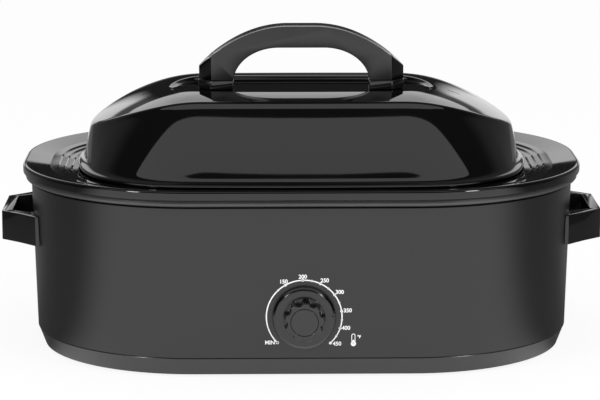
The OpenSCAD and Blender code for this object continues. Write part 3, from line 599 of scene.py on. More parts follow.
def moulded_plastic(name, colour, rough, grain=2600.0, depth=0.00002, polished_and_shaded_edges=False):
    """Moulded plastic: spark-eroded grain and, where asked for, polished edges and sides whose
    colour is darkened to a tenth as painted shade.
    """
    f = Finish(name)
    cloud = f.noise(40.0, 3.0)
    spark = f.noise(grain, 2.0, 0.6)
    base = f.blend(cloud, rgba(colour, 0.92), rgba(colour, 1.08))
    roughness = rough + 0.08 * (cloud - 0.5)
    if polished_and_shaded_edges:
        flat = f.ramp(abs(f.facing(1)), 0.86, 0.97)
        roughness = POLISHED + (roughness - POLISHED) * flat
        spark = spark * flat
        # Painted shade: faces not turned to the front or back take a tenth of the colour,
        # standing in for the dark reflections on the polished edges, top and flutes.
        base = f.blend(flat, rgba(colour, 0.1), base)
    return f.surface(base_color=base, roughness=roughness, normal=f.bump(spark, depth, 0.6))


def brushed_metal(name, colour, rough, along=(60.0, 60.0, 1400.0)):
    """Rolled or plated metal with fine lines and faint stains."""
    f = Finish(name)
    lines = f.noise(1.0, 3.0, 0.6, f.stretched(along))
    stain = f.ramp(f.noise(24.0, 4.0), 0.45, 0.75)
    base = f.blend(stain, rgba(colour), rgba(colour, 0.8))
    return f.surface(base_color=base, metallic=1.0,
                     roughness=rough + 0.10 * (lines - 0.5) + 0.08 * stain,
                     normal=f.bump(lines, 0.000006, 0.5))


def matte_fibre(name, colour, scale=240.0, depth=0.0004):
    """Glass wool or woven sleeve: soft tangled fibres."""
    f = Finish(name)
    fibres = f.noise(1.0, 6.0, 0.7, f.stretched((scale, scale * 0.3, scale)))
    base = f.blend(fibres, rgba(colour, 0.72), rgba(colour, 1.12))
    return f.surface(base_color=base, roughness=0.95, normal=f.bump(fibres, depth, 0.8))


def black_rubber(name, colour=(0.012, 0.012, 0.012)):
    """Dull rubber with fine pores and some dust."""
    f = Finish(name)
    pores = f.noise(900.0, 3.0)
    dust = f.ramp(f.noise(70.0, 4.0), 0.5, 0.8)
    base = f.blend(dust * 0.3, rgba(colour), (0.05, 0.048, 0.045, 1.0))
    return f.surface(base_color=base, roughness=0.72 + 0.12 * (pores - 0.5),
                     normal=f.bump(pores, 0.00004, 0.6))


def printed_ink(name, colour):
    """Screen print with the faint grain of its screen."""
    f = Finish(name)
    screen = f.noise(1500.0, 2.0)
    base = f.blend(f.ramp(screen, 0.3, 0.7), rgba(colour, 0.94), rgba(colour))
    return f.surface(base_color=base, roughness=0.5, normal=f.bump(screen, 0.00001, 0.3))


def make_finishes(colours):
    grey = (0.62, 0.62, 0.62)
    return {
        "casing_paint": satin_paint("Casing paint", colours.casing, 0.32),
        "well_steel": satin_paint("Well paint", (0.05, 0.05, 0.051), 0.30),
        "base_grey": satin_paint("Base paint", colours.base, 0.22),
        "heater_mica": matte_fibre("Mica band", (0.55, 0.52, 0.46), 400.0, 0.0001),
        "zinc_steel": brushed_metal("Zinc plate", grey, 0.34),
        "glass_wool": matte_fibre("Glass wool", (0.78, 0.72, 0.52)),
        "bright_steel": brushed_metal("Bright steel", (0.70, 0.70, 0.71), 0.22),
        "foot_rubber": black_rubber("Foot rubber"),
        "gloss_phenolic": moulded_plastic("Gloss phenolic", (0.006, 0.006, 0.006), 0.10,
                                          800.0, 0.000004),
        "phenolic_brown": moulded_plastic("Brown phenolic", (0.12, 0.06, 0.03), 0.45),
        "brass": brushed_metal("Brass", (0.72, 0.53, 0.22), 0.25),
        "ceramic_white": moulded_plastic("Ceramic", (0.76, 0.73, 0.66), 0.6, 500.0),
        "wire_sleeve": matte_fibre("Wire sleeve", (0.70, 0.68, 0.62), 1200.0, 0.00005),
        "black_enamel": gloss_enamel("Pan enamel", colours.enamel),
        "chrome_wire": brushed_metal("Chrome wire", (0.75, 0.75, 0.77), 0.09,
                                     (400.0, 400.0, 400.0)),
        "gloss_black_paint": gloss_enamel("Lid enamel", colours.enamel, 0.035),
        # Grip and knob: grained fronts, and polished edges and sides darkened as painted shade.
        "satin_phenolic": moulded_plastic("Satin phenolic", colours.grip, 0.40, polished_and_shaded_edges=True),
        "knob_plastic": moulded_plastic("Knob plastic", colours.grip, 0.30, polished_and_shaded_edges=True),
        "scale_ink": printed_ink("Scale print", colours.ink),
    }


FINISHES = {}


# ------------------------------------------------------------------ operators


class ROASTER_OT_finishes(bpy.types.Operator):
    """Makes the finishes and gives them to the CAD nodes"""

    bl_idname = "roaster.finishes"
    bl_label = "Finishes"

    def execute(self, context):
        FINISHES.update(make_finishes(context.scene.roaster_finish))
        for part in frame["record"]["subparts"]:
            node = frame["nodes"][part["node"]]
            node.data.materials.clear()
            node.data.materials.append(FINISHES[part["material_slot"]])
        return {"FINISHED"}


class ROASTER_OT_pan(bpy.types.Operator):
    """Models the roasting pan with its rolled lip and stepped flange"""

    bl_idname = "roaster.pan"
    bl_label = "Roasting pan"

    def execute(self, context):
        """Lays out the section as (offset from the outline, height, radius) and sweeps it."""
        size = context.scene.roaster_pan
        lip, step = size.lip_radius / MM, size.step_radius / MM
        floor = size.floor_radius / MM
        sheet, foot_z = 1.2, 34
        top = [(-26, 175.1, 2), (-34, 175.1, step), (-35.6, 173.5, step), (-40, 173.5, step),
               (-41.6, 171.9, step), (-46, 171.9, step), (-47.6, 170.3, step)]
        inside = [(-55, 170.3, 2.4), (-60, foot_z, floor), (-95, foot_z, 0)]
        outside = [(-95, foot_z - sheet, 0), (-60 + sheet, foot_z - sheet, floor + sheet),
                   (-55 + sheet, 170.3 - sheet, 1.2)]
        under = [(d + 0.4, z - sheet, r) for d, z, r in reversed(top)]
        rim = [(-sheet, 179.2 - sheet, lip - sheet), (-sheet, 170 + sheet, 0.2),
               (-7, 170 + sheet, 0), (-7, 170, 0), (0, 170, 1.2), (0, 179.36, lip)]
        line = fillet(outside + under + rim + top + inside, 6)
        pan = sweep("roasting_pan_enamel", line, size.turns)
        place(pan, "pan", "black_enamel", FINISHES["black_enamel"], ["roasting_pan"])
        return {"FINISHED"}


def quarter(a, b, r, bow_y, bow_x, n):
    """A quarter of the eight-arc oval, from the end round to the long side."""
    cx, cy = a - r - bow_x, b - r - bow_y
    re = r + (cy * cy + bow_x * bow_x) / (2 * bow_x)
    rs = r + (cx * cx + bow_y * bow_y) / (2 * bow_y)
    te = math.atan2(cy, cx - a + re)
    ts = math.atan2(cx, cy - b + rs)
    points = [(a - re + re * math.cos(te * i / n), re * math.sin(te * i / n)) for i in range(n)]
    for i in range(2 * n):
        t = te + (math.pi / 2 - ts - te) * i / (2 * n)
        points.append((cx + r * math.cos(t), cy + r * math.sin(t)))
    for i in range(2 * n):
        t = math.pi / 2 - ts + ts * i / (2 * n)
        points.append((rs * math.cos(t), b - rs + rs * math.sin(t)))
    return points


def oval(a, b, r, bow_y, bow_x, n):
    """The whole eight-arc oval, from one end round against the clock."""
    q = quarter(a, b, r, bow_y, bow_x, n)
    back = q[:0:-1]
    return (q + [(0, b)] + [(-x, y) for x, y in back] + [(-x, -y) for x, y in q]
            + [(0, -b)] + [(x, -y) for x, y in back])


LID_N = 6  # steps in each arc of the lid's ovals
RIM_IN_X, RIM_IN_Y = 52.0, 28.0  # rim inside the pan's outline
CROWN_IN_X, CROWN_IN_Y = 12.0, 61.5  # crown's edge inside the rim
CROWN_X, CROWN_Y = HALF_LEN - RIM_IN_X - CROWN_IN_X, HALF_DEP - RIM_IN_Y - CROWN_IN_Y
CROWN_Z = LID_Z + 74.6
CROWN_DIP = 3.4  # drop of the crown from the pocket to its edge
ARCH_LEVEL = 100.0  # half of the arch's level part
ARCH_FALL = 33.0
ARCH_BEND = 1.75
POCKET_X, POCKET_Y = 128.0, CROWN_Y - 46.5
POCKET_Z = CROWN_Z - 4.6
POCKET_RIM = 2.2  # least drop of the pocket's floor under the arch
VENT_X = 149.0
EDGE_DROP = 3  # height of the crown's rounded edge
RIM_W = 7.0
LID_SLOPE = math.hypot(CROWN_IN_Y - RIM_W, CROWN_Z - LID_Z - RIM_W)


def arch_z(x):
    """Height of the lid's arched top."""
    over = max(0.0, abs(x) - ARCH_LEVEL) / (CROWN_X - ARCH_LEVEL)
    return CROWN_Z - ARCH_FALL * over ** ARCH_BEND


def lid_floor_z(x):
    """Height of the pocket's floor."""
    return min(POCKET_Z, arch_z(x) - POCKET_RIM)


def rim_oval(d):
    """The lid's rim, moved out by d."""
    return oval(HALF_LEN - RIM_IN_X + d, HALF_DEP - RIM_IN_Y + d, 104 + d, 3, 8, LID_N)


def crown_oval(d):
    """The crown's edge, moved out by d."""
    return oval(CROWN_X + d, CROWN_Y + d, CROWN_Y - 12.5 + d, 2.5, 4, LID_N)


def pocket_oval(d):
    """The pocket's edge, moved out by d."""
    return oval(POCKET_X + d, POCKET_Y + d, POCKET_Y - 16 + d, 2, 4, LID_N)


def lifted(points, height):
    """A ring of points lifted to a height, or to a function of x."""
    rise = height if callable(height) else (lambda x: height)
    return [(x, y, rise(x)) for x, y in points]


def between(first, second, share, bulge=0.0):
    """A ring between two others, swollen outwards in step with the slope's length."""
    ring = []
    for a, b in zip(first, second):
        a, b = Vector(a), Vector(b)
        point = a.lerp(b, share)
        if bulge:
            x, y, z = b - a
            run = math.hypot(x, y)
            swell = 4 * share * (1 - share) * bulge / LID_SLOPE
            point += swell * Vector((-x * z / run, -y * z / run, run))
        ring.append(tuple(point))
    return ring


def lid_rings(sheet, bulge):
    """The lid's rings outside, from the rim up to the pocket, and inside, back down."""
    foot = lifted(rim_oval(-RIM_W), LID_Z + RIM_W)
    edge = lifted(crown_oval(0), lambda x: arch_z(x) - CROWN_DIP - EDGE_DROP)
    top = crown_oval(-5)
    brim = pocket_oval(2.6)

    def dome(t):
        """The arched top between the crown's edge and the pocket's."""
        ring = [(a[0] + (b[0] - a[0]) * t, a[1] + (b[1] - a[1]) * t) for a, b in zip(top, brim)]
        return lifted(ring, lambda x: arch_z(x) - CROWN_DIP * (1 - t) * (1 - 0.75 * t))

    def below_arch(points, drop):
        return lifted(points, lambda x: arch_z(x) - drop)

    def above_floor(points, rise):
        return lifted(points, lambda x: lid_floor_z(x) + rise)

    outer = [
        *[lifted(rim_oval(d), LID_Z + z) for d, z in ((-1, 0), (-0.1, 0.5), (0, 1.4), (-0.2, 2.6),
                                                      (-1.2, 3.5), (-3.5, 4.1), (-5.4, 5.2))],
        foot,
        *[between(foot, edge, share, bulge) for share in (0.04, 0.15, 0.3, 0.5, 0.7, 0.85, 0.96)],
        *[below_arch(crown_oval(d), CROWN_DIP + z)
          for d, z in ((-0.1, 2.6), (-1.2, 1.0), (-3.0, 0.1))],
        *[dome(t) for t in (0, 0.2, 0.4, 0.6, 0.8, 1)],
        *[below_arch(pocket_oval(d), z) for d, z in ((1.0, 0.1), (0.0, 0.9))],
        *[above_floor(pocket_oval(d), z)
          for d, z in ((-1.3, 1.0), (-2.4, 0.1), (-4.5, 0), (-20, 0), (-30, 0))],
    ]
    foot_in = lifted(rim_oval(-RIM_W - sheet), LID_Z + RIM_W - sheet / 2)
    edge_in = below_arch(crown_oval(-sheet), CROWN_DIP + EDGE_DROP + sheet)
    inner = [
        *[above_floor(pocket_oval(d), -sheet - z) for d, z in ((-30, 0), (-20, 0), (0, 0.2))],
        below_arch(pocket_oval(3), sheet + 0.6),
        below_arch(crown_oval(-5.5), CROWN_DIP + sheet),
        edge_in,
        *[between(foot_in, edge_in, share, bulge) for share in (0.8, 0.6, 0.4, 0.2)],
        foot_in,
        *[lifted(rim_oval(d), LID_Z + z)
          for d, z in ((-RIM_W - 0.2, 4.0), (-5.2, 2.4), (-3.6, 1.2), (-3, 0))],
    ]
    return outer, inner


class ROASTER_OT_lid(bpy.types.Operator):
    """Models the lid's pressed shell with its sunk handle pocket and steam slots"""

    bl_idname = "roaster.lid"
    bl_label = "Lid"

    def execute(self, context):
        size = context.scene.roaster_lid
        outer, inner = lid_rings(size.sheet / MM, size.bulge / MM)
        rings = [[(x * MM, y * MM + CENTRE_Y, z * MM) for x, y, z in ring]
                 for ring in outer + inner]
        # from the pocket's floor outside, down and round the rim, to its floor inside
        down, up = rings[len(outer) - 1::-1], rings[:len(outer) - 1:-1]
        lid = loft("lid_enamel", down + up)
        smooth_surface(lid, 1)
        for side in (-1, 1):
            deselect()
            bpy.ops.mesh.primitive_cube_add(size=1,
                                            location=(side * VENT_X * MM, CENTRE_Y, 0.236))
            tool = bpy.context.object
            tool.scale = (size.slot_length, 0.0024, 0.05)
            settle(tool)
            subtract(lid, tool)
        finish_mesh(lid, 40)
        place(lid, "lid", "gloss_black_paint", FINISHES["gloss_black_paint"], ["lid_shell"])
        return {"FINISHED"}


# the lid's handle, in millimetres
GRIP_HALF = (GRIP_HIGH.x - GRIP_LOW.x) / 2 / MM
GRIP_TOP = GRIP_HIGH.z / MM
LEG_Z = GRIP_LOW.z / MM
LEG_W = 33.5
GRIP_T = 15.0  # half of its thickness
GRIP_BAR = 20.5  # height of the bar in its middle
CORNER_IN, CORNER_BACK = 10.0, 12.0  # the slanted corners' reach along and across
SHOE_LIP = 0.8  # how far a shoe stands out round its leg


def grip_outline():
    """The handle seen from the front, in millimetres."""
    inner = GRIP_HALF - LEG_W
    crest, fall, power = 12, 0.0033, 2.1
    flat, drop = 22.0, 34.0
    top = []
    for i in range(61):
        x = GRIP_HALF * (i / 30 - 1)
        top.append((x, GRIP_TOP - fall * max(0.0, abs(x) - crest) ** power))
    low = []
    for i in range(49):
        x = inner * math.cos(math.pi * i / 48)
        u = min(1.0, max(0.0, abs(x) - flat) / (inner - flat))
        low.append((x, max(LEG_Z, GRIP_TOP - GRIP_BAR - drop * (1 - math.sqrt(1 - u * u)))))
    return [(-GRIP_HALF, LEG_Z)] + top + [(GRIP_HALF, LEG_Z)] + low


def trim_corners(obj, half_x, half_y):
    """Cuts the slanted corners of the grip or of a shoe."""
    for sx in (-1, 1):
        for sy in (-1, 1):
            point = (sx * half_x * MM, CENTRE_Y + sy * (half_y - CORNER_BACK) * MM, 0)
            cut(obj, point, (sx * CORNER_BACK, sy * CORNER_IN, 0))


class ROASTER_OT_lid_handle(bpy.types.Operator):
    """Models the lid's arched grip and the two shoes under it"""

    bl_idname = "roaster.lid_handle"
    bl_label = "Lid handle"

    def execute(self, context):
        size = context.scene.roaster_lid
        outline = grip_outline()
        grip = outline_circle("lid_grip", [(x * MM, CENTRE_Y - GRIP_T * MM, z * MM)
                                           for x, z in outline], "NGON")
        with Editing(grip):
            bpy.ops.mesh.select_all(action="SELECT")
            bpy.ops.mesh.extrude_region_move(
                TRANSFORM_OT_translate={"value": (0, 2 * GRIP_T * MM, 0)})
            bpy.ops.mesh.select_all(action="SELECT")
            bpy.ops.mesh.remove_doubles(threshold=0.00001)
            bpy.ops.mesh.normals_make_consistent(inside=False)
        trim_corners(grip, GRIP_HALF, GRIP_T)
        round_edges(grip, size.grip_edge, 4, 34)
        finish_mesh(grip, 40)
        place(grip, "lid", "satin_phenolic", FINISHES["satin_phenolic"], ["lid_handle"])
        for name, side in (("left", -1), ("right", 1)):
            node = f"handle_shoe_{name}"
            low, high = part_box(node)
            outline = [(low.x, low.y), (high.x, low.y), (high.x, high.y), (low.x, high.y)]
            shoe = prism(f"grip_shoe_{name}", outline, low.z, high.z)
            trim_corners(shoe, GRIP_HALF + SHOE_LIP, GRIP_T + SHOE_LIP)
            round_edges(shoe, 0.0013, 4, 30)
            finish_mesh(shoe, 40)
            place(shoe, "lid", "gloss_phenolic", FINISHES["gloss_phenolic"], [node])
        return {"FINISHED"}


class ROASTER_OT_side_handles(bpy.types.Operator):
    """Models the two end handles"""

    bl_idname = "roaster.side_handles"
    bl_label = "End handles"

    def execute(self, context):
        size = context.scene.roaster_sides
        for name, side in (("left", -1), ("right", 1)):
            node = f"side_handle_{name}"
            handle = self.model(f"end_grip_{name}", node, side)
            round_edges(handle, size.edge, 4, 30)
            finish_mesh(handle, 40)
            place(handle, "oven", "gloss_phenolic", FINISHES["gloss_phenolic"], [node])
        return {"FINISHED"}

    def model(self, name, node, side):
        """One loop, pulled up to the casing's wall and cut off slanting underneath."""
        low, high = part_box(node)
        far = max(abs(low.x), abs(high.x)) / MM
        top, bottom = high.z / MM, low.z / MM
        half = (high.y - low.y) / 2 / MM
        corner, bar, arm, slant = 35.0, 10.0, 28.0, 11.0
        turn = corner * 0.52
        gap = 0.3

        def wall(y, z):
            radius = CORNER_R + casing_at(z) + gap
            return CORNER_X + math.sqrt(radius ** 2 - max(0.0, abs(y) - CORNER_Y) ** 2)

        root = [half - arm * i / 4 for i in range(5)]
        outline = [(None, -y) for y in reversed(root)]
        outline += [(far - corner, -half), (far - turn, turn - half), (far, corner - half),
                    (far, half - corner), (far - turn, half - turn), (far - corner, half)]
        outline += [(None, y) for y in root]
        outline += [(far - bar, half - corner - 2), (far - bar, corner - half + 2)]
        start = [((wall(y, top) if x is None else x) * side * MM, y * MM + CENTRE_Y)
                 for x, y in outline]
        handle = prism(name, start, bottom * MM, top * MM)
        with Editing(handle) as edit:
            for vert in edit.mesh().verts:
                y, z = (vert.co.y - CENTRE_Y) / MM, vert.co.z / MM
                if half - arm - 0.01 < abs(y) and abs(vert.co.x) / MM < far - corner - 2:
                    if z < (top + bottom) / 2:
                        vert.co.x = side * wall(y, z) * MM
            edit.update()
        near = wall(half, top)
        cut(handle, (side * near * MM, CENTRE_Y, bottom * MM), (side * -slant, 0, near - far))
        return handle


def revolve(name, line, centre, steps):
    """Spins a line of (radius, depth) round the dial's axis, out towards the front."""
    points = [(centre[0] + r * MM, centre[1] - depth * MM, centre[2]) for r, depth in line]
    obj = outline_circle(name, points)
    with Editing(obj, "EDGE") as edit:
        bm = edit.mesh()
        bm.verts.ensure_lookup_table()
        first, last = bm.verts[0], bm.verts[len(line) - 1]
        for edge in bm.edges:
            edge.select_set({first, last} == set(edge.verts))
        edit.update()
        bpy.ops.mesh.delete(type="EDGE")
        bpy.ops.mesh.select_mode(type="VERT")
        bpy.ops.mesh.select_all(action="SELECT")
        bpy.ops.mesh.spin(steps=steps, angle=math.tau, center=centre, axis=(0, 1, 0))
        bpy.ops.mesh.select_all(action="SELECT")
        bpy.ops.mesh.remove_doubles(threshold=0.00001)
        bpy.ops.mesh.normals_make_consistent(inside=False)
    return obj


class ROASTER_OT_knob(bpy.types.Operator):
    """Models the dial's knob: skirt, fluted grip and pointer notch"""

    bl_idname = "roaster.knob"
    bl_label = "Knob"

    def execute(self, context):
        size = context.scene.roaster_dial
        centre = (DIAL_X * MM, KNOB_HIGH.y, DIAL_Z * MM)
        depth = (KNOB_HIGH.y - KNOB_LOW.y) / MM
        skirt = (KNOB_HIGH.x - KNOB_LOW.x) / 2 / MM
        grip = 19.5
        corners = [(0, 8, 0), (9, 8, 0.5), (9, 0, 0.4), (skirt, 0, 0.5), (skirt, 2.6, 1.0),
                   (skirt - 2.6, 5.2, 3.4), (grip + 1.6, 6.0, 0.8), (grip, 6.6, 0.6),
                   (grip - 1.0, depth, 1.8), (13.1, depth, 0.3), (12.7, depth - 0.5, 0.1),
                   (12.3, depth, 0.3), (0, depth, 0)]
        knob = revolve("dial_grip", fillet(corners, 5), centre, 144)
        for k in range(size.flutes):
            angle = size.rest_angle + math.tau * (k + 0.5) / size.flutes
            self.flute(knob, centre, angle, grip)
        self.notch(knob, centre, size.rest_angle, skirt)
        finish_mesh(knob, 34)
        place(knob, "dial", "satin_phenolic", FINISHES["knob_plastic"], ["dial_knob"])
        return {"FINISHED"}

    def flute(self, knob, centre, angle, grip):
        """Cuts one flute with a rounded end."""
        reach = (grip + 0.6) * MM
        length, back = 0.03, 0.0068
        deselect()
        bpy.ops.mesh.primitive_cylinder_add(
            vertices=40, radius=4.8 * MM, depth=length, rotation=(math.pi / 2, 0, 0),
            location=(centre[0] + reach * math.sin(angle), centre[1] - back - length / 2,
                      centre[2] + reach * math.cos(angle)))
        tool = bpy.context.object
        with Editing(tool, "EDGE") as edit:
            edit.select_edges(lambda a, b: a.z == b.z)
            bpy.ops.mesh.bevel(offset=0.0016, segments=4, affect="EDGES")
        settle(tool)
        subtract(knob, tool)

    def notch(self, knob, centre, angle, skirt):
        """Cuts the pointer's notch in the skirt."""
        reach = (skirt - 0.6) * MM
        deselect()
        bpy.ops.mesh.primitive_cube_add(size=1)
        tool = bpy.context.object
        tool.scale = (0.0024, 0.004, 0.0062)
        tool.rotation_euler = (0, angle, 0)
        tool.location = (centre[0] + reach * math.sin(angle), centre[1] - 0.0052,
                         centre[2] + reach * math.cos(angle))
        settle(tool)
        subtract(knob, tool)


# turn of the mark, word, turn of the word and its distance from the middle, in millimetres
SCALE = [(-134.7, "MIN", -127.8, 40.2), (-29.8, "150", -29.6, 38.6), (-2.1, "200", -2.0, 38.2),
         (25.6, "250", 28.7, 39.4), (53.2, "300", 54.3, 40.3), (80.9, "350", 81.7, 40.6),
         (108.5, "400", 105.7, 40.2), (136.0, "450", 130.4, 40.0)]
HALF_MARKS = [-43.6, 11.8, 39.4, 67.1, 94.7, 122.3]
INK = 0.04  # thickness of the print


class ROASTER_OT_scale(bpy.types.Operator):
    """Prints the heat scale on the casing round the knob"""

    bl_idname = "roaster.scale"
    bl_label = "Heat scale"

    def execute(self, context):
        size = context.scene.roaster_dial
        ring = size.ring_radius / MM
        width = size.ring_width / MM
        parts = [self.arc(ring, width, SCALE[0][0] + 2.4, SCALE[-1][0])]
        for k, (angle, word, turn, reach) in enumerate(SCALE):
            if k:
                parts.append(self.disc(self.at(angle, ring), 1.35))
            parts.append(self.word(word, self.at(turn, reach), size.number_size))
        parts.append(self.hoop(self.at(SCALE[0][0], ring), 1.45, 0.5))
        parts += [self.disc(self.at(angle, ring), 1.0) for angle in HALF_MARKS]
        parts += self.thermometer((45.6, -22.6))
        parts.append(self.word("°F", (50.9, -19.4), size.number_size * 0.72))
        scale = join("heat_scale", parts)
        tilt = math.atan2(CASING_DRAFT, CASING_RISE)
        stand = Matrix.Rotation(math.pi / 2 + tilt, 4, "X")
        there = Matrix.Translation((DIAL_X * MM, front_at(DIAL_Z) * MM - 0.00003, DIAL_Z * MM))
        scale.data.transform(there @ stand)
        finish_mesh(scale, 30)
        place(scale, "oven", "casing_paint", FINISHES["scale_ink"])
        return {"FINISHED"}

    @staticmethod
    def at(angle, reach):
        """The place at a turn from the top, clockwise in degrees."""
        t = math.radians(angle)
        return reach * math.sin(t), reach * math.cos(t)

    @staticmethod
    def thicken(obj):
        """Gives a flat shape the print's thickness."""
        with Editing(obj):
            bpy.ops.mesh.select_all(action="SELECT")
            bpy.ops.mesh.extrude_region_move(
                TRANSFORM_OT_translate={"value": (0, 0, INK * MM)})
        return obj

    def disc(self, where, radius):
        """A filled dot."""
        points = [((where[0] + radius * math.cos(math.tau * i / 20)) * MM,
                   (where[1] + radius * math.sin(math.tau * i / 20)) * MM, 0)
                  for i in range(20)]
        return self.thicken(outline_circle("dot", points, "NGON"))

    def hoop(self, where, radius, width, length=0.0):
        """A ring, or a capsule of some length, with an open middle."""
        points = []
        for i in range(24):
            t = math.tau * i / 24
            y = where[1] + radius * math.sin(t) + (length if math.sin(t) > 0 else 0)
            points.append(((where[0] + radius * math.cos(t)) * MM, y * MM, 0))
        obj = outline_circle("hoop", points, "NGON")
        with Editing(obj, "FACE"):
            bpy.ops.mesh.select_all(action="SELECT")
            bpy.ops.mesh.inset(thickness=width * MM)
            bpy.ops.mesh.delete(type="FACE")
        return self.thicken(obj)

    def arc(self, radius, width, start, stop):
        """A short plane spun round the scale's centre."""
        x, y = self.at(start, radius)
        deselect()
        bpy.ops.mesh.primitive_plane_add(size=1)
        obj = bpy.context.object
        radial = Vector((x, y, 0)).normalized()
        corners = [(-0.5, 0), (0.5, 0), (0.5, 1), (-0.5, 1)]
        with Editing(obj) as edit:
            bm = edit.mesh()
            bm.verts.ensure_lookup_table()
            order = [0, 1, 3, 2]
            for k, (a, b) in zip(order, corners):
                bm.verts[k].co = (Vector((x, y, 0)) + radial * a * width
                                  + Vector((0, 0, b * INK))) * MM
            edit.update()
            bpy.ops.mesh.select_all(action="SELECT")
            bpy.ops.mesh.spin(steps=110, angle=math.radians(stop - start),
                              center=(0, 0, 0), axis=(0, 0, 1))
        return obj

    def word(self, body, where, size):
        """A word or number as a mesh."""
        deselect()
        bpy.ops.object.text_add(location=(where[0] * MM, where[1] * MM, 0))
        obj = bpy.context.object
        obj.data.body = body
        obj.data.size = size
        obj.data.align_x = "CENTER"
        obj.data.align_y = "CENTER"
        obj.data.offset = 0.00014
        obj.data.extrude = INK * MM / 2
        bpy.ops.object.convert(target="MESH")
        return settle(bpy.context.object)

    def thermometer(self, where):
        """A glass tube, its bulb and the foot of its column."""
        stem = self.hoop((where[0], where[1] - 1.5), 1.9, 0.65, 6.0)
        bulb = self.disc((where[0], where[1] - 3.2), 2.5)
        column = self.disc((where[0], where[1] - 0.4), 0.9)
        return [stem, bulb, column]


# ------------------------------------------------------------------ stage


CARD_GAIN = 1.5  # radiance of the cards that only shiny surfaces see
DARK = 0.02  # radiance of the room between the cards


def lamp(name, size_x, size_y, place_at, target, radiance):
    """A softbox of a given radiance that looks at a point."""
    data = bpy.data.lights.new(name, "AREA")
    data.shape = "RECTANGLE"
    data.size = size_x
    data.size_y = size_y
    data.energy = radiance * math.pi * size_x * size_y
    obj = bpy.data.objects.new(name, data)
    bpy.context.scene.collection.objects.link(obj)
    obj.location = place_at
    away = Vector(target) - Vector(place_at)
    obj.rotation_euler = away.to_track_quat("-Z", "Y").to_euler()
    return obj


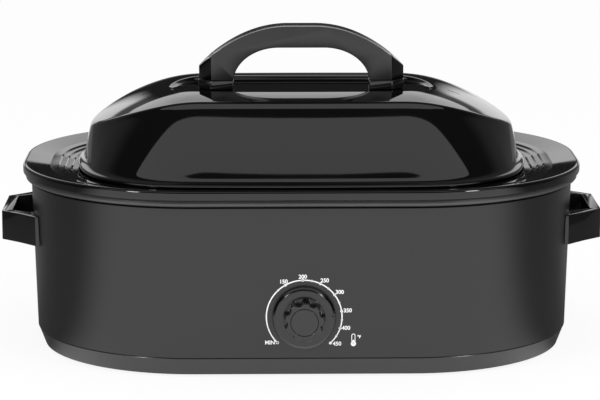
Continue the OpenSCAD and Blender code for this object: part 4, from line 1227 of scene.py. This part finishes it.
class ROASTER_OT_stage(bpy.types.Operator):
    """Sets the camera, the lamps, the sky and the floor"""

    bl_idname = "roaster.stage"
    bl_label = "Studio"

    def execute(self, context):
        size = context.scene.roaster_stage
        scene = context.scene
        scene.view_settings.view_transform = "Standard"
        self.camera(scene, size)
        self.world(scene, size)
        self.floor(size)
        lamp("Top softbox", 3.4, 0.47, (0, -0.56, 1.55), (0, -0.55, 0), size.top_lamp)
        for name, side, width in (("Left lamp", -1, 0.20), ("Right lamp", 1, 0.22)):
            lamp(name, width, width, (side * 1.08, -1.08, 1.1), (0, 0, 0.12), size.side_lamp)
        return {"FINISHED"}

    def camera(self, scene, size):
        """Sets the camera up in front, a little to the left."""
        data = bpy.data.cameras.new("Camera")
        data.sensor_fit = "HORIZONTAL"
        data.sensor_width = 36.0
        data.lens = size.lens
        data.shift_x = size.shift
        camera = bpy.data.objects.new("Camera", data)
        scene.collection.objects.link(camera)
        camera.location = (-size.distance * math.sin(size.side),
                           CENTRE_Y - size.distance * math.cos(size.side), size.height)
        camera.rotation_euler = (math.pi / 2 - size.pitch, 0, -size.side)
        scene.camera = camera

    def world(self, scene, size):
        """White for the camera, cards in front and behind for the gloss, even light otherwise."""
        world = bpy.data.worlds.new("Studio")
        scene.world = world
        f = Finish("Studio", world)
        way = f.add("ShaderNodeTexCoord")
        height = f.add("ShaderNodeSeparateXYZ", None, {0: way}, 2)
        cards = self.cards(f, way, size, height)
        dark = f.light("Background", DARK)
        white = f.light("Background", 1.0)
        card = f.light("Background", CARD_GAIN)
        even = f.light("Background", size.sky)
        camera, gloss = self.paths(f)
        shine = f.mix(cards, dark, card)
        most = f.mix(gloss, even, shine)
        f.add("ShaderNodeOutputWorld", None, {"Surface": f.mix(camera, most, white)})

    @staticmethod
    def paths(f):
        """Camera rays, and rays off or through something shiny."""
        camera = f.add("ShaderNodeLightPath", output="Is Camera Ray")
        shine = f.add("ShaderNodeLightPath", output="Is Glossy Ray")
        through = f.add("ShaderNodeLightPath", output="Is Transmission Ray")
        return camera, shine.math("MAXIMUM", shine, through)

    @staticmethod
    def cards(f, way, size, height=None):
        """Where the white cards stand: one in front, a high one and two low ones behind."""
        x = f.add("ShaderNodeSeparateXYZ", None, {0: way}, 0)
        y = f.add("ShaderNodeSeparateXYZ", None, {0: way}, 1)
        reach = (x * x + y * y + 0.000001) ** 0.5
        front = -1.0 * y / reach
        before = f.ramp(front, 0.20, 0.55) * size.front_card
        sides = f.ramp(abs(x / reach), 0.12, 0.16)
        behind = f.ramp(front * -1.0, 0.90, 0.955) / CARD_GAIN
        rest = f.ramp(front * -1.0, 0.25, 0.55) * sides * 0.08
        if height is None:
            return before + behind * sides + rest
        high = f.ramp(height, 0.176, 0.189) * (1.0 - f.ramp(height, 0.47, 0.56))
        low = (1.0 - f.ramp(height, 0.10, 0.13)) * sides
        return before * (1.0 - f.ramp(height, 0.30, 0.42)) + behind * (high + low) + rest

    def floor(self, size):
        """Lays a pale floor that is nearly white for the camera and keeps a soft shadow."""
        deselect()
        bpy.ops.mesh.primitive_circle_add(vertices=96, radius=14, fill_type="NGON")
        floor = bpy.context.object
        floor.name = "Floor"
        f = Finish("Floor")
        camera, gloss = self.paths(f)
        cloth = f.add("ShaderNodeBsdfDiffuse", None, {"Color": rgba(size.floor)})
        white = f.light("Emission", 1.0)
        card = f.light("Emission", CARD_GAIN)
        dark = f.light("Emission", DARK)
        shine = f.mix(self.cards(f, f.position(), size), dark, card)
        most = f.mix(gloss * 0.85, cloth, shine)
        both = f.mix(camera * 0.88, most, white)
        f.add("ShaderNodeOutputMaterial", None, {"Surface": both})
        floor.data.materials.append(f.material)


# ------------------------------------------------------------------ panel


class ROASTER_PT_panel(bpy.types.Panel):
    """The roaster's pieces and settings"""

    bl_idname = "ROASTER_PT_panel"
    bl_label = "Roaster oven"
    bl_space_type = "VIEW_3D"
    bl_region_type = "UI"
    bl_category = "Roaster"

    def draw(self, context):
        for operator in OPERATORS:
            self.layout.operator(operator.bl_idname)
        for name, group in SETTINGS.items():
            box = self.layout.box()
            box.label(text=group.__doc__)
            for key in group.__annotations__:
                box.prop(getattr(context.scene, name), key)


OPERATORS = (ROASTER_OT_finishes, ROASTER_OT_pan, ROASTER_OT_lid, ROASTER_OT_lid_handle,
             ROASTER_OT_side_handles, ROASTER_OT_knob, ROASTER_OT_scale, ROASTER_OT_stage)


def register():
    for group in SETTINGS.values():
        bpy.utils.register_class(group)
    for name, group in SETTINGS.items():
        setattr(bpy.types.Scene, name, PointerProperty(type=group))
    for operator in OPERATORS:
        bpy.utils.register_class(operator)
    bpy.utils.register_class(ROASTER_PT_panel)


def unregister():
    bpy.utils.unregister_class(ROASTER_PT_panel)
    for operator in reversed(OPERATORS):
        bpy.utils.unregister_class(operator)
    for name in SETTINGS:
        delattr(bpy.types.Scene, name)
    for group in reversed(list(SETTINGS.values())):
        bpy.utils.unregister_class(group)


def main():
    register()
    bpy.ops.roaster.finishes()
    bpy.ops.roaster.pan()
    bpy.ops.roaster.lid()
    bpy.ops.roaster.lid_handle()
    bpy.ops.roaster.side_handles()
    bpy.ops.roaster.knob()
    bpy.ops.roaster.scale()
    bpy.ops.roaster.stage()
    deselect()


if __name__ == "__main__":
    main()
